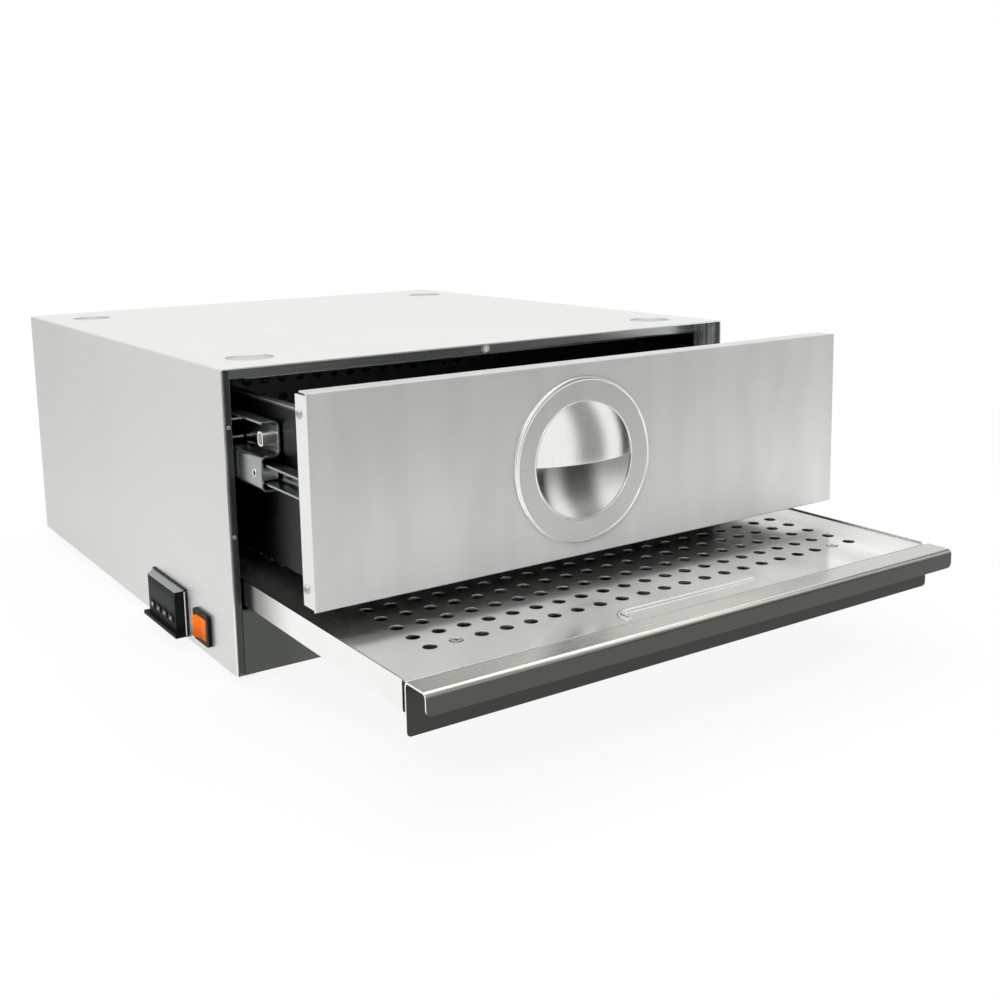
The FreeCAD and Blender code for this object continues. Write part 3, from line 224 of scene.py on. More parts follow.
class Graph:
    """A material's node tree, with short calls for the nodes that the finishes share."""

    def __init__(self, name):
        self.material = bpy.data.materials.new(name)
        self.material.use_nodes = True
        self.tree = self.material.node_tree
        self.shader = self.tree.nodes["Principled BSDF"]

    def add(self, kind, **settings):
        made = self.tree.nodes.new(kind)
        for key, value in settings.items():
            setattr(made, key, value)
        return made

    def link(self, output, socket):
        self.tree.links.new(output, socket)

    def feed(self, value, socket):
        """Gives a socket an output or a number."""
        if isinstance(value, (int, float)):
            socket.default_value = value
        else:
            self.link(value, socket)

    def noise(self, scale, detail=2.0, roughness=0.5):
        """Noise over object coordinates that are stretched by a scale along each axis."""
        where = self.add("ShaderNodeTexCoord")
        stretch = self.add("ShaderNodeMapping")
        stretch.inputs["Scale"].default_value = scale
        self.link(where.outputs["Object"], stretch.inputs["Vector"])
        made = self.add("ShaderNodeTexNoise")
        made.inputs["Scale"].default_value = 1.0
        made.inputs["Detail"].default_value = detail
        made.inputs["Roughness"].default_value = roughness
        self.link(stretch.outputs["Vector"], made.inputs["Vector"])
        return made.outputs["Fac"]

    def carry(self, value, start, end, low, high, **settings):
        """A value carried from one range to another."""
        made = self.add("ShaderNodeMapRange", **settings)
        for name, number in (("From Min", start), ("From Max", end), ("To Min", low), ("To Max", high)):
            made.inputs[name].default_value = number
        self.link(value, made.inputs["Value"])
        return made.outputs["Result"]

    def spread(self, value, middle, share):
        """Noise carried to a range round a middle, a share of it to either side."""
        return self.carry(value, *NOISE_RANGE, middle * (1 - share), middle * (1 + share))

    def ramp(self, value, start, end, low=0.0, high=1.0, base=0.0):
        """Eases from low to high while a value runs from start to end, both counted from a base."""
        return self.carry(value, base + start, base + end, low, high, interpolation_type="SMOOTHSTEP")

    def tint(self, value, dark, light):
        """A colour between two, picked by a 0 to 1 value."""
        made = self.add("ShaderNodeMix", data_type="RGBA")
        made.inputs["A"].default_value = (*dark, 1.0)
        made.inputs["B"].default_value = (*light, 1.0)
        self.link(value, made.inputs["Factor"])
        return made.outputs["Result"]

    def shade(self, colour, factor):
        """A colour darkened or lightened by a value."""
        made = self.add("ShaderNodeMix", data_type="RGBA", blend_type="MULTIPLY")
        made.inputs["Factor"].default_value = 1.0
        self.link(colour, made.inputs["A"])
        self.link(factor, made.inputs["B"])
        return made.outputs["Result"]

    def blend(self, factor, first, second):
        """A value between two, picked by a 0 to 1 factor."""
        made = self.add("ShaderNodeMix")
        self.link(factor, made.inputs["Factor"])
        self.feed(first, made.inputs["A"])
        self.feed(second, made.inputs["B"])
        return made.outputs["Result"]

    def step(self, kind, first, second=0.0):
        """One math step; each side is an output or a number."""
        made = self.add("ShaderNodeMath", operation=kind)
        self.feed(first, made.inputs[0])
        self.feed(second, made.inputs[1])
        return made.outputs["Value"]

    def times(self, first, *others):
        """The product of some values."""
        total = first
        for other in others:
            total = self.step("MULTIPLY", total, other)
        return total

    def distance(self, value, place):
        """How far a value is from a place, to either side."""
        return self.step("ABSOLUTE", self.step("SUBTRACT", value, place))

    def length(self, first, second):
        """The length of a flat arrow with these two parts."""
        return self.step("SQRT", self.step("ADD", self.times(first, first), self.times(second, second)))

    def parts(self, output_name):
        """The three parts of one of the texture coordinates, as x, y and z."""
        where = self.add("ShaderNodeTexCoord")
        split = self.add("ShaderNodeSeparateXYZ")
        self.link(where.outputs[output_name], split.inputs["Vector"])
        return split.outputs["X"], split.outputs["Y"], split.outputs["Z"]

    def coat(self, value, colour, grain, tone):
        """A colour that varies with a value; tone(graph) may shade it."""
        base = self.tint(value, scaled(colour, 1 - grain), scaled(colour, 1 + grain))
        if tone:
            base = self.shade(base, tone(self))
        self.link(base, self.shader.inputs["Base Color"])

    def polish(self, value, roughness, share):
        """A roughness that varies with a value."""
        self.link(self.spread(value, roughness, share), self.shader.inputs["Roughness"])

    def bump(self, value, strength, depth, radius):
        """A bump on the shader's normal, over edges softened by a radius."""
        made = self.add("ShaderNodeBump")
        made.inputs["Strength"].default_value = strength
        made.inputs["Distance"].default_value = depth
        self.link(value, made.inputs["Height"])
        soft = self.add("ShaderNodeBevel")
        soft.samples = EDGE_SAMPLES
        soft.inputs["Radius"].default_value = radius
        self.link(soft.outputs["Normal"], made.inputs["Normal"])
        self.link(made.outputs["Normal"], self.shader.inputs["Normal"])


def scaled(colour, factor):
    return tuple(min(1.0, channel * factor) for channel in colour)


def middle_of(low, high, axis):
    """The middle of a box along one axis."""
    return (low[axis] + high[axis]) / 2


def brushed(name, colour, roughness, along, grain=0.10, tone=None, metallic=1.0):
    """Steel with fine straight brush lines along one axis and a faint cloudiness; tone(graph) may shade it."""
    graph = Graph(name)
    stretch = [BRUSH_ACROSS, BRUSH_ACROSS, BRUSH_ACROSS]
    stretch["xyz".index(along)] = BRUSH_ALONG
    lines = graph.noise(stretch, detail=3.0, roughness=0.6)
    clouds = graph.noise(CLOUDS, detail=3.0)
    both = graph.step("ADD", lines, graph.times(clouds, CLOUD_SHARE))
    graph.coat(graph.carry(both, *NOISE_RANGE, 0.0, 1.0), colour, grain, tone)
    graph.polish(lines, roughness, share=0.2)
    graph.shader.inputs["Metallic"].default_value = metallic
    graph.bump(lines, *BRUSH_BUMP, radius=0.0006)
    return graph.material


def plain_metal(name, colour, roughness, tone=None, metallic=1.0):
    """Polished or plated sheet with faint smears; tone(graph) may shade it."""
    graph = Graph(name)
    smears = graph.noise(SMEARS, detail=5.0, roughness=0.6)
    graph.coat(smears, colour, grain=0.12, tone=tone)
    graph.polish(smears, roughness, share=0.25)
    graph.shader.inputs["Metallic"].default_value = metallic
    graph.bump(graph.noise(DENTS), *DENT_BUMP, radius=0.0004)
    return graph.material


def moulded(name, colour, roughness, grain=0.25, gloss=0.5, glow=0.0, tone=None):
    """Moulded plastic or rubber with a fine spark-eroded texture; it may glow, and tone(graph) may shade it."""
    graph = Graph(name)
    speckle = graph.noise(SPECKLE)
    graph.coat(speckle, colour, grain, tone)
    graph.polish(speckle, roughness, share=0.15)
    graph.shader.inputs["Specular IOR Level"].default_value = gloss
    graph.shader.inputs["Emission Color"].default_value = (*colour, 1.0)
    graph.shader.inputs["Emission Strength"].default_value = glow
    graph.bump(speckle, *SPECKLE_BUMP, radius=0.0005)
    return graph.material


def from_dimple(graph, x, y):
    """How far a point is from the middle of the nearest of the four pressed dimples."""
    low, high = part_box("rubber_feet")
    reach_x = high[0] - FOOT_RADIUS
    reach_y = (high[1] - low[1]) / 2 - FOOT_RADIUS
    off_x = graph.step("SUBTRACT", graph.step("ABSOLUTE", x), reach_x)
    off_y = graph.step("SUBTRACT", graph.distance(y, middle_of(low, high, 1)), reach_y)
    return graph.length(off_x, off_y)


def sideways(graph):
    """0 on faces that look to the front, back, top or bottom, and 1 on those that look to the sides."""
    return graph.ramp(graph.step("ABSOLUTE", graph.parts("Normal")[0]), *SIDEWAYS)


def case_painted_light(graph):
    """Duller dimple discs, painted shade on the dimples' slopes, and painted light: a lighter top, sides duller
    to the back and up, and a painted highlight on the cut edges at the front.
    """
    x, y, z = graph.parts("Object")
    _, ny, nz = graph.parts("Normal")
    top = cad_box[1][2]
    far = from_dimple(graph, x, y)
    disc = graph.ramp(far, *DIMPLE_DISC, base=DIMPLE_RADIUS)
    dish = graph.times(disc, graph.ramp(nz, *DIMPLE_SLOPE))
    dished = graph.blend(graph.ramp(far, *DIMPLE_RIM, base=DIMPLE_RADIUS), dish, 1.0)
    pressed = graph.blend(graph.ramp(z, *(share * top for share in DIMPLE_LEVEL)), 1.0, dished)
    side = graph.times(graph.ramp(y, *SIDE_LENGTH), graph.ramp(z, *SIDE_HEIGHT))
    facing = graph.blend(graph.ramp(nz, *UPWARDS), side, TOP_SHADE)
    return graph.times(facing, pressed, graph.ramp(ny, *CASE_EDGE))


def lip_painted_light(graph):
    """Painted light and shade on the lip: painted highlights on its top and cut ends, painted shade on its drop
    and darker painted shade on the wall behind.
    """
    x, y, _ = graph.parts("Object")
    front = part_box("tray_front")[0][1]
    drop = graph.ramp(y, *LIP_DROP, base=front)
    top = graph.ramp(graph.distance(x, LIP_BRIGHT_X), *LIP_TOP)
    facing = graph.blend(graph.ramp(graph.parts("Normal")[2], *LIP_UPWARDS), drop, top)
    return graph.blend(sideways(graph), facing, PAINTED_CUT_HIGHLIGHT)


def front_waves_and_painted_light(graph):
    """Soft waves over the front, painted light that makes it lighter to its lower right, its ring duller and a
    painted highlight on its flanges.
    """
    x, _, z = graph.parts("Object")
    low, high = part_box("drawer_front")
    hood_low, hood_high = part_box("pull_hood")
    off_x = graph.step("SUBTRACT", x, middle_of(hood_low, hood_high, 0))
    off_z = graph.step("SUBTRACT", z, hood_low[2])
    edge = (high[2] - low[2]) / 2 - RING_MARGIN
    inside = graph.ramp(graph.length(off_x, off_z), *RING_EDGE, base=edge)
    ring = graph.blend(graph.ramp(graph.parts("Normal")[1], *OFF_FRONT), inside, 1.0)
    rise = graph.ramp(z, low[2], high[2], *FRONT_RISE)
    across = graph.ramp(x, low[0], high[0], *FRONT_ACROSS)
    waves = graph.spread(graph.noise(FRONT_WAVES, detail=3.0), 1.0, WAVE_DEPTH)
    return graph.blend(sideways(graph), graph.times(rise, across, waves, ring), PAINTED_CUT_HIGHLIGHT)


def cup_painted_shade(graph):
    """Painted shade in the cup: darker towards the hood's edge, and there towards its middle too."""
    x, _, z = graph.parts("Object")
    low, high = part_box("pull_hood")
    band = graph.ramp(graph.distance(x, middle_of(low, high, 0)), *CUP_BAND)
    middle = graph.blend(graph.ramp(z, *CUP_BAND_RISE, base=low[2]), 1.0, band)
    return graph.times(graph.ramp(z, *CUP_RISE, base=low[2]), middle)


def insert_streaks_and_painted_light(graph):
    """Soft polishing streaks, and painted light: the cover lighter to its front and left and painted highlights
    on its bead and hole rims.
    """
    x, y, _ = graph.parts("Object")
    low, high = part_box("tray_insert")
    near = graph.ramp(y, *INSERT_NEAR, base=low[1])
    across = graph.ramp(x, low[0], high[0], *INSERT_ACROSS)
    rims = graph.ramp(graph.parts("Normal")[2], *INSERT_RIMS)
    streaks = graph.spread(graph.noise(INSERT_STREAKS, detail=3.0), 1.0, STREAK_DEPTH)
    return graph.times(near, across, rims, streaks)


def pan_painted_light_and_shade(graph):
    """Painted highlight on the outside of the tray's walls and painted shade where they enter the cabinet."""
    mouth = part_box("outer_wrap")[0][1]
    walls = graph.ramp(graph.parts("Object")[1], *PAN_WALLS, base=mouth)
    return graph.blend(sideways(graph), 1.0, walls)


def stile_painted_light(graph):
    """Painted light on the stiles' returns, brighter than their fronts, in upright streaks."""
    streaks = graph.ramp(graph.noise(STILE_STREAKS), *STILE_STREAK_SHADES)
    return graph.blend(sideways(graph), 1.0, graph.times(streaks, PAINTED_RETURN_LIGHT))


def sill_painted_light(graph):
    """Painted light on the sill, lighter away from the left stile."""
    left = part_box("outer_wrap")[0][0]
    return graph.ramp(graph.parts("Object")[0], *SILL_RUN, base=left)


def header_painted_light(graph):
    """Painted light on the header, lighter to either side of a dark stretch."""
    return graph.ramp(graph.distance(graph.parts("Object")[0], HEADER_DARK_X), *HEADER_RUN)


def screw_painted_highlight(graph):
    """A painted highlight on the screw in the header, brighter than the others."""
    low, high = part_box("front_header")
    return graph.ramp(graph.distance(graph.parts("Object")[1], middle_of(low, high, 1)), *SCREW_RUN)


def zinc_painted_highlight(graph):
    """A painted highlight on the slides' cut front ends."""
    return graph.ramp(graph.parts("Normal")[1], *ZINC_EDGE)


def bezel_painted_light(graph):
    """Painted light on the bezel's sloping top, lighter than its face."""
    low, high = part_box("controller_bezel")
    upper = graph.ramp(graph.parts("Object")[2], *BEZEL_UPPER, base=middle_of(low, high, 2))
    slope = graph.times(graph.ramp(graph.parts("Normal")[2], *BEZEL_UPWARDS), upper)
    return graph.blend(slope, 1.0, PAINTED_BEZEL_LIGHT)


def paddle_painted_light(graph):
    """Painted light on the paddle, brighter at its top."""
    low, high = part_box("rocker_paddle")
    return graph.ramp(graph.parts("Object")[2], low[2], high[2], *PADDLE_RISE)


def box_painted_light_and_shade(graph):
    """Painted shade and light on the drawer box: dark walls, lighter inside than outside, a painted highlight
    on the outer rim and a lighter floor.
    """
    x, _, z = graph.parts("Object")
    nx, _, nz = graph.parts("Normal")
    low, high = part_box("drawer_side_left")
    outwards = graph.times(x, nx)
    walls = graph.times(graph.ramp(outwards, *BOX_INSIDE), graph.ramp(outwards, *BOX_OUTSIDE))
    edge = graph.ramp(graph.step("ABSOLUTE", x), *RIM_EDGE, base=-low[0])
    upper = graph.blend(graph.ramp(z, *BOX_LEVEL, base=high[2]), PAINTED_RIM_AND_FLOOR_LIGHT, edge)
    return graph.times(walls, graph.blend(graph.ramp(nz, *UPWARDS), 1.0, upper))


def dress(material, *names):
    """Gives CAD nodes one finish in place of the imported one."""
    for name in names:
        mesh = nodes[name].data
        mesh.materials.clear()
        mesh.materials.append(material)


case_steel = brushed("case_steel", (0.60, 0.60, 0.595), 0.34, "y", grain=0.07, tone=case_painted_light, metallic=0.8)
# The stiles', sill's and header's dark colours are painted shade on steel.
stile_steel = brushed("stile_steel", (0.047, 0.053, 0.050), 0.28, "z", tone=stile_painted_light, metallic=0.5)
sill_steel = brushed("sill_steel", (0.088, 0.096, 0.090), 0.34, "x", grain=0.06, tone=sill_painted_light)
header_steel = brushed("header_steel", (0.24, 0.26, 0.25), 0.26, "x", tone=header_painted_light)
liner_steel = plain_metal("liner_steel", (0.34, 0.35, 0.36), 0.32)
# The drawer box's near-black colour is painted shade.
box_steel = plain_metal("box_steel", (0.070, 0.070, 0.072), 0.34, tone=box_painted_light_and_shade)
front_steel = brushed("front_steel", (0.51, 0.51, 0.50), 0.40, "x", grain=0.035, tone=front_waves_and_painted_light, metallic=0.4)
pull_steel = brushed("pull_steel", (0.82, 0.82, 0.80), 0.17, "z", grain=0.04)
cup_steel = brushed("cup_steel", (0.76, 0.76, 0.74), 0.17, "z", grain=0.06, tone=cup_painted_shade)
tray_steel = plain_metal("tray_steel", (0.63, 0.63, 0.615), 0.15, tone=insert_streaks_and_painted_light, metallic=0.94)
pan_steel = plain_metal("pan_steel", (0.58, 0.58, 0.565), 0.20, tone=pan_painted_light_and_shade)
lip_steel = brushed("lip_steel", (0.60, 0.60, 0.560), 0.26, "x", grain=0.06, tone=lip_painted_light)
zinc = plain_metal("slide_zinc", (0.34, 0.35, 0.35), 0.24, tone=zinc_painted_highlight)
bright_steel = plain_metal("screw_steel", (0.48, 0.48, 0.46), 0.22, tone=screw_painted_highlight, metallic=0.6)
stop_steel = plain_metal("stop_steel", (0.90, 0.90, 0.88), 0.36)
edge_steel = plain_metal("edge_steel", (0.86, 0.86, 0.84), 0.18)
heater_steel = plain_metal("heater_steel", (0.20, 0.18, 0.16), 0.42)
brass = plain_metal("terminal_brass", (0.62, 0.46, 0.18), 0.30)
foot_rubber = moulded("foot_rubber", (0.022, 0.022, 0.022), 0.72, gloss=0.3)
board = moulded("insulation", (0.60, 0.54, 0.38), 0.92, gloss=0.2)
black_plastic = moulded("black_plastic", (0.006, 0.006, 0.007), 0.45, gloss=0.12)
charcoal_plastic = moulded("charcoal_plastic", (0.0055, 0.0062, 0.0060), 0.45, gloss=0.05, tone=bezel_painted_light)
button_plastic = moulded("button_plastic", (0.008, 0.008, 0.009), 0.40, gloss=0.15)
window_plastic = moulded("window_plastic", (0.016, 0.020, 0.019), 0.25, grain=0.1, gloss=0.02)
# The paddle's faint glow is painted light.
amber_plastic = moulded(
    "amber_plastic", (0.96, 0.17, 0.001), 0.35, grain=0.05, gloss=0.05, glow=0.12, tone=paddle_painted_light
)
white_print = moulded("white_print", (0.80, 0.80, 0.78), 0.5, grain=0.05)
block_plastic = moulded("block_plastic", (0.55, 0.50, 0.38), 0.5)
switch_plastic = moulded("switch_plastic", (0.045, 0.022, 0.016), 0.5)
# The vent sheets' near-black colour is painted shade.
vent_shade_material = plain_metal("vent_painted_shade", (0.030, 0.030, 0.032), 0.5)

dress(case_steel, "outer_wrap", "rear_panel")
dress(stile_steel, "left_stile", "right_stile")
dress(sill_steel, "front_sill")
dress(header_steel, "front_header")
dress(liner_steel, "base_pan", "liner_left", "liner_right", "liner_top", "deck_panel", "rear_baffle")
dress(box_steel, "drawer_side_left", "drawer_side_right", "drawer_floor", "drawer_back")
dress(front_steel, "drawer_front", "drawer_backer")
dress(pull_steel, "pull_hood")
dress(cup_steel, "pull_cup")
dress(pan_steel, "tray_pan")
dress(tray_steel, "tray_back", "tray_insert")
dress(lip_steel, "tray_front")
dress(
    zinc, "slide_cabinet_left", "slide_cabinet_right", "slide_middle_left", "slide_middle_right",
    "slide_drawer_left", "slide_drawer_right", "ball_cages_fixed", "ball_cages_drawer", "tray_glides",
    "front_brackets", "heater_clips",
)
dress(
    bright_steel, "foot_screws", "frame_screws", "rear_screws", "drawer_screws", "insert_pins",
    "temperature_probe",
)
dress(heater_steel, "heating_element")
dress(brass, "heater_terminals")
dress(foot_rubber, "rubber_feet")
dress(board, "side_insulation", "top_insulation")
dress(black_plastic, "cable_gland", "gland_nut", "controller_case", "rocker_housing")
dress(charcoal_plastic, "controller_bezel")
dress(button_plastic, "button_1", "button_2", "button_3", "button_4")
dress(window_plastic, "controller_window")
dress(amber_plastic, "rocker_paddle")
dress(block_plastic, "terminal_block")
dress(switch_plastic, "high_limit_switch")


def add_object(name, data):
    """A new object in the scene."""
    made = bpy.data.objects.new(name, data)
    bpy.context.scene.collection.objects.link(made)
    return made


def piece(mesh, body, material):
    """A new detail piece, named after its mesh, that moves with a body."""
    made = add_object(mesh.name, mesh)
    mesh.materials.append(material)
    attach(made, body)


def finished(name, shape):
    """A mesh from a bmesh, with all its faces turned outwards."""
    mesh = bpy.data.meshes.new(name)
    bmesh.ops.recalc_face_normals(shape, faces=shape.faces)
    shape.to_mesh(mesh)
    shape.free()
    return mesh


def bridge(shape, first, second, smooth=False):
    """Faces between two closed loops of as many points."""
    for j in range(len(first)):
        k = (j + 1) % len(first)
        face = shape.faces.new((first[j], first[k], second[k], second[j]))
        face.smooth = smooth


def bead(name, centre, radius, tube, swell=0.0, around=160, sides=10):
    """A thin pressed ring that faces the front; swell makes its upper left thicker."""
    shape = bmesh.new()
    rings = []
    for i in range(around):
        turn = 2 * math.pi * i / around
        thick = tube * (1 + swell * max(0.0, math.cos(turn - BEAD_TURN)))
        ring = []
        for j in range(sides):
            roll = 2 * math.pi * j / sides
            reach = radius - thick + tube + thick * math.cos(roll)
            across = centre[0] + reach * math.cos(turn)
            depth = centre[1] + tube * math.sin(roll)
            ring.append(shape.verts.new((across, depth, centre[2] + reach * math.sin(turn))))
        rings.append(ring)
    for i, ring in enumerate(rings):
        bridge(shape, ring, rings[(i + 1) % around], smooth=True)
    return finished(name, shape)


def slab(name, low, high, soft):
    """A block between two corners with rounded edges."""
    shape = bmesh.new()
    bmesh.ops.create_cube(shape, size=1.0)
    for vert in shape.verts:
        for i in range(3):
            vert.co[i] = low[i] + (vert.co[i] + 0.5) * (high[i] - low[i])
    bmesh.ops.bevel(shape, geom=shape.edges[:], offset=soft, segments=3, profile=0.5, affect="EDGES")
    return finished(name, shape)


def mark(name, outline, centre, face_x):
    """A small printed mark on the left side, its outline given across (towards the front) and up."""
    shape = bmesh.new()
    base = [shape.verts.new((face_x, centre[1] - u, centre[2] + v)) for u, v in outline]
    raised = bmesh.ops.extrude_face_region(shape, geom=[shape.faces.new(base)])
    for item in raised["geom"]:
        if isinstance(item, bmesh.types.BMVert):
            item.co.x -= MARK_PROUD
    return finished(name, shape)


def hollow_block(name, low, high, side):
    """A rounded block along X whose end on one side (-1 or 1) is open, like a short oval tube."""
    shape = bmesh.new()
    middle = [middle_of(low, high, i) for i in range(3)]
    half = [(high[i] - low[i]) / 2 for i in range(3)]
    mouth = middle[0] + side * half[0]
    root = middle[0] - side * half[0]
    loops = []
    for across, share in (
        (root, 1.0), (mouth, 1.0), (mouth, STOP_BORE), (mouth - side * half[0], STOP_BORE)
    ):
        loop = []
        for i in range(STOP_SIDES):
            turn = 2 * math.pi * i / STOP_SIDES
            bulge = abs(math.cos(turn)) ** STOP_POWER + abs(math.sin(turn)) ** STOP_POWER
            reach = share / bulge ** (1 / STOP_POWER)
            depth = middle[1] + half[1] * reach * math.cos(turn)
            loop.append(shape.verts.new((across, depth, middle[2] + half[2] * reach * math.sin(turn))))
        loops.append(loop)
    shape.faces.new(loops[0])
    shape.faces.new(loops[-1])
    for first, second in zip(loops, loops[1:]):
        bridge(shape, first, second)
    return finished(name, shape)


def pull_trim():
    """Bright beads round the ring and the pull, and the seam where the hood's plate ends on the ring."""
    hood_low, hood_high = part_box("pull_hood")
    middle_x = middle_of(hood_low, hood_high, 0)
    ring_y = hood_high[1]
    pull_z = hood_low[2]
    pull_radius = (hood_high[0] - hood_low[0]) / 2
    front_low, front_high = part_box("drawer_front")
    ring_radius = (front_high[2] - front_low[2]) / 2 - RING_MARGIN
    ring = bead(
        "ring_bead", (middle_x, ring_y + RING_BEAD_BACK, pull_z), ring_radius - RING_BEAD_INSET,
        RING_BEAD_TUBE, swell=RING_BEAD_SWELL,
    )
    piece(ring, "drawer", edge_steel)
    pull = bead("pull_bead", (middle_x, ring_y, pull_z), pull_radius + PULL_BEAD_OUTSET, PULL_BEAD_TUBE)
    piece(pull, "drawer", edge_steel)
    inner, outer = pull_radius + SEAM_GAPS[0], ring_radius - SEAM_GAPS[1]
    for side, word in SIDES:
        start, end = sorted((middle_x + side * inner, middle_x + side * outer))
        seam = slab(
            f"ring_seam_{word}", (start, ring_y + SEAM_DEPTH[0], pull_z + SEAM_HEIGHT[0]),
            (end, ring_y + SEAM_DEPTH[1], pull_z + SEAM_HEIGHT[1]), SEAM_SOFT,
        )
        piece(seam, "drawer", pull_steel)


def controller_trim():
    """The controller's seal, its pale edge strip, a bright strip painted on its top as a glint, and the marks
    on its buttons.
    """
    low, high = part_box("controller_bezel")
    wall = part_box("outer_wrap")[0][0]
    for name, (start, end, out), material, slot in (
        ("controller_edge", STRIP_EDGE, white_print, "button_plastic"),
        ("controller_seal_front", STRIP_SEAL, black_plastic, "black_plastic"),
    ):
        strip = slab(
            name, (wall - out, low[1] + start, low[2] + STRIP_INSET),
            (wall, low[1] + end, high[2] - STRIP_INSET), STRIP_SOFT,
        )
        piece(strip, "cabinet", material)
    seal = slab(
        "controller_seal_top", (wall - STRIP_SEAL[2], low[1] + STRIP_SEAL[0], high[2]),
        (wall, high[1] - SEAL_INSET, high[2] + SEAL_RISE), STRIP_SOFT,
    )
    piece(seal, "cabinet", black_plastic)
    # A painted highlight: a bright strip along the bezel's top.
    glance = slab(
        "controller_painted_glint", (wall - GLANCE_OUT, low[1] + GLANCE_INSET, high[2] - GLANCE_HEIGHT),
        (wall, high[1] - GLANCE_INSET, high[2]), GLANCE_SOFT,
    )
    piece(glance, "cabinet", bright_steel)
    for i, outline in enumerate((MARK_SQUARE, MARK_RIGHT, MARK_DOWN, MARK_UP), start=1):
        key_low, key_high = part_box(f"button_{i}")
        centre = [middle_of(key_low, key_high, axis) for axis in range(3)]
        sign = mark(f"button_mark_{i}", outline, centre, key_low[0])
        piece(sign, f"button_{i}", white_print)


def vent_shade_sheets():
    """Dark sheets behind the slots of the back: painted shade that keeps the slots dark."""
    low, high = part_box("rear_panel")
    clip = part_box("heater_clips")[1][0] - VENT_CLIP
    for side, word in SIDES:
        start, end = sorted((side * VENT_INNER, side * clip))
        screen = slab(
            f"vent_shade_sheet_{word}", (start, low[1] + SHADE_SHEET_DEPTH[0], high[2] - VENT_BOTTOM),
            (end, low[1] + SHADE_SHEET_DEPTH[1], high[2] - VENT_TOP), SHADE_SHEET_SOFT,
        )
        piece(screen, "cabinet", vent_shade_material)


def slide_trim():
    """Stops inside the two channels of each middle slide member, and a rivet's ring near its front end."""
    for side, word in SIDES:
        low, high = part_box(f"slide_middle_{word}")
        near, far = sorted((abs(low[0]), abs(high[0])))
        middle_z = middle_of(low, high, 2)
        start = low[1] + STOP_INSET
        for level, root, out, limit in (
            ("upper", near + SLIDE_WALL, 1, high[2]),
            ("lower", far - SLIDE_WALL, -1, low[2]),
        ):
            centre = (middle_z + limit) / 2
            ends = sorted((side * root, side * (root + out * STOP_LENGTH)))
            block = hollow_block(
                f"slide_stop_{word}_{level}", (ends[0], start, centre - STOP_HALF),
                (ends[1], start + STOP_DEPTH, centre + STOP_HALF), side * out,
            )
            piece(block, "slide_middle", stop_steel)
        ring = bead(f"slide_rivet_{word}", (0.0, 0.0, 0.0), RIVET_RADIUS, RIVET_TUBE, around=RIVET_AROUND)
        place = Vector((side * far, low[1] + RIVET_INSET, (middle_z + low[2]) / 2))
        ring.transform(Matrix.Translation(place) @ Matrix.Rotation(math.pi / 2, 4, "Z"))
        piece(ring, "slide_middle", edge_steel)


pull_trim()
controller_trim()
vent_shade_sheets()
slide_trim()


def seen_directly(tree):
    """1 for rays from the camera and for those that mirrors and glass send on."""
    path = tree.nodes.new("ShaderNodeLightPath")
    total = path.outputs["Is Camera Ray"]
    for name in ("Is Glossy Ray", "Is Transmission Ray"):
        most = tree.nodes.new("ShaderNodeMath")
        most.operation = "MAXIMUM"
        tree.links.new(total, most.inputs[0])
        tree.links.new(path.outputs[name], most.inputs[1])
        total = most.outputs["Value"]
    return total


def make_world():
    """White all round, brighter where it is seen than where it lights."""
    world = bpy.data.worlds.new("studio")
    bpy.context.scene.world = world
    world.use_nodes = True
    tree = world.node_tree
    lit = tree.nodes["Background"]
    shown = tree.nodes.new("ShaderNodeBackground")
    mix = tree.nodes.new("ShaderNodeMixShader")
    tree.links.new(seen_directly(tree), mix.inputs["Fac"])
    for ground, strength, socket in ((lit, WORLD_LIGHT, mix.inputs[1]), (shown, 1.0, mix.inputs[2])):
        ground.inputs["Color"].default_value = WHITE
        ground.inputs["Strength"].default_value = strength
        tree.links.new(ground.outputs["Background"], socket)
    tree.links.new(mix.outputs["Shader"], tree.nodes["World Output"].inputs["Surface"])


def sheet(name, corners):
    """A flat object with four corners."""
    mesh = bpy.data.meshes.new(name)
    mesh.from_pydata(corners, [], [(0, 1, 2, 3)])
    return add_object(name, mesh)


def make_floor():
    """A white floor that keeps a soft shadow near the object and melts into the background further out."""
    half = FLOOR_SIZE / 2
    floor = sheet("floor", [(-half, -half, 0), (half, -half, 0), (half, half, 0), (-half, half, 0)])
    graph = Graph("floor_white")
    graph.shader.inputs["Base Color"].default_value = FLOOR_COLOUR
    graph.shader.inputs["Roughness"].default_value = FLOOR_ROUGHNESS
    glow = graph.add("ShaderNodeEmission")
    glow.inputs["Strength"].default_value = 1.0
    x, y, _ = graph.parts("Object")
    fade = graph.ramp(graph.length(x, y), *FLOOR_FADE)
    mix = graph.add("ShaderNodeMixShader")
    graph.link(graph.times(seen_directly(graph.tree), fade), mix.inputs["Fac"])
    graph.link(graph.shader.outputs["BSDF"], mix.inputs[1])
    graph.link(glow.outputs["Emission"], mix.inputs[2])
    graph.link(mix.outputs["Shader"], graph.tree.nodes["Material Output"].inputs["Surface"])
    floor.data.materials.append(graph.material)


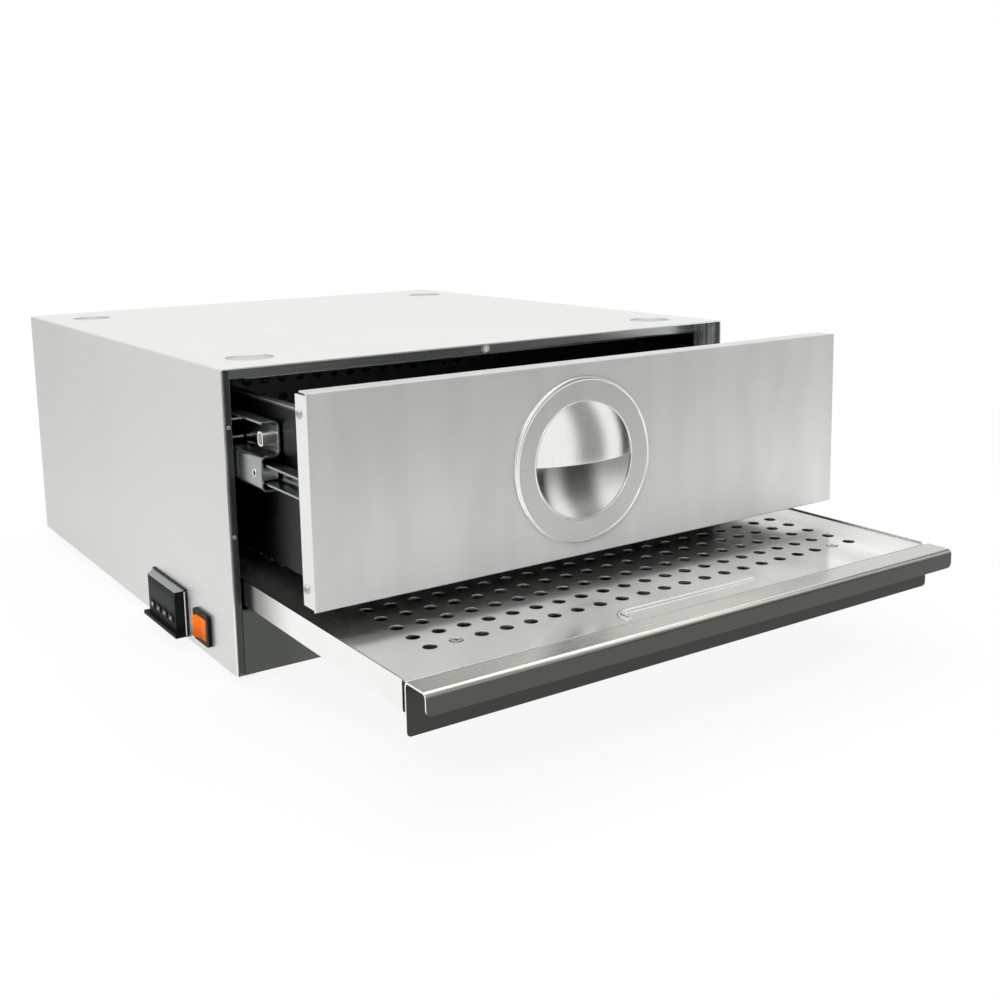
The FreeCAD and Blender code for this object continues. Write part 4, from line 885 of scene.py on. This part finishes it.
def make_flag(name, azimuth, width, tone):
    """A tall dark card with soft edges, at a bearing from the pull, that only polished surfaces mirror."""
    half = FLAG_DISTANCE * math.tan(math.radians(width / 2))
    card = sheet(name, [(-half, 0, 0), (half, 0, 0), (half, 0, FLAG_HEIGHT), (-half, 0, FLAG_HEIGHT)])
    bearing = math.radians(azimuth)
    low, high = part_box("pull_hood")
    across = middle_of(low, high, 0) + FLAG_DISTANCE * math.sin(bearing)
    card.location = (across, low[1] - FLAG_DISTANCE * math.cos(bearing), FLAG_RISE)
    card.rotation_euler = (0.0, 0.0, bearing)
    graph = Graph(name)
    off = graph.step("ABSOLUTE", graph.parts("Object")[0])
    glow = graph.add("ShaderNodeEmission")
    graph.link(graph.ramp(off, FLAG_CORE * half, half, tone, 1.0), glow.inputs["Strength"])
    graph.link(glow.outputs["Emission"], graph.tree.nodes["Material Output"].inputs["Surface"])
    card.data.materials.append(graph.material)
    card.visible_camera = False
    card.visible_diffuse = False
    card.visible_shadow = False


def make_lamp(name, place, aim, size, power):
    """A square lamp turned towards an aim."""
    lamp = bpy.data.lights.new(name, "AREA")
    lamp.size = size
    lamp.energy = power
    holder = add_object(name, lamp)
    holder.location = place
    holder.rotation_euler = (Vector(aim) - Vector(place)).to_track_quat("-Z", "Y").to_euler()


def make_camera():
    """The camera of the photographed view, rolled about its own axis."""
    azimuth, elevation, roll = (math.radians(a) for a in (CAMERA_AZIMUTH, CAMERA_ELEVATION, CAMERA_ROLL))
    level = math.cos(elevation)
    forward = Vector((-math.sin(azimuth) * level, math.cos(azimuth) * level, -math.sin(elevation)))
    right = Vector((math.cos(azimuth), math.sin(azimuth), 0.0))
    down = forward.cross(right)
    across = math.cos(roll) * right - math.sin(roll) * down
    below = math.sin(roll) * right + math.cos(roll) * down
    data = bpy.data.cameras.new("camera")
    data.sensor_width = CAMERA_SENSOR
    data.lens = CAMERA_LENS
    data.shift_x, data.shift_y = CAMERA_SHIFT
    data.clip_start = CAMERA_NEAR
    camera = add_object("camera", data)
    turn = Matrix((across, -below, -forward)).transposed()
    camera.matrix_world = Matrix.Translation(CAMERA_PLACE) @ turn.to_4x4()
    bpy.context.scene.camera = camera


make_world()
make_floor()
for flag in FLAGS:
    make_flag(*flag)
for lamp_row in LAMPS:
    make_lamp(*lamp_row)
make_camera()
bpy.context.scene.view_settings.view_transform = "Standard"
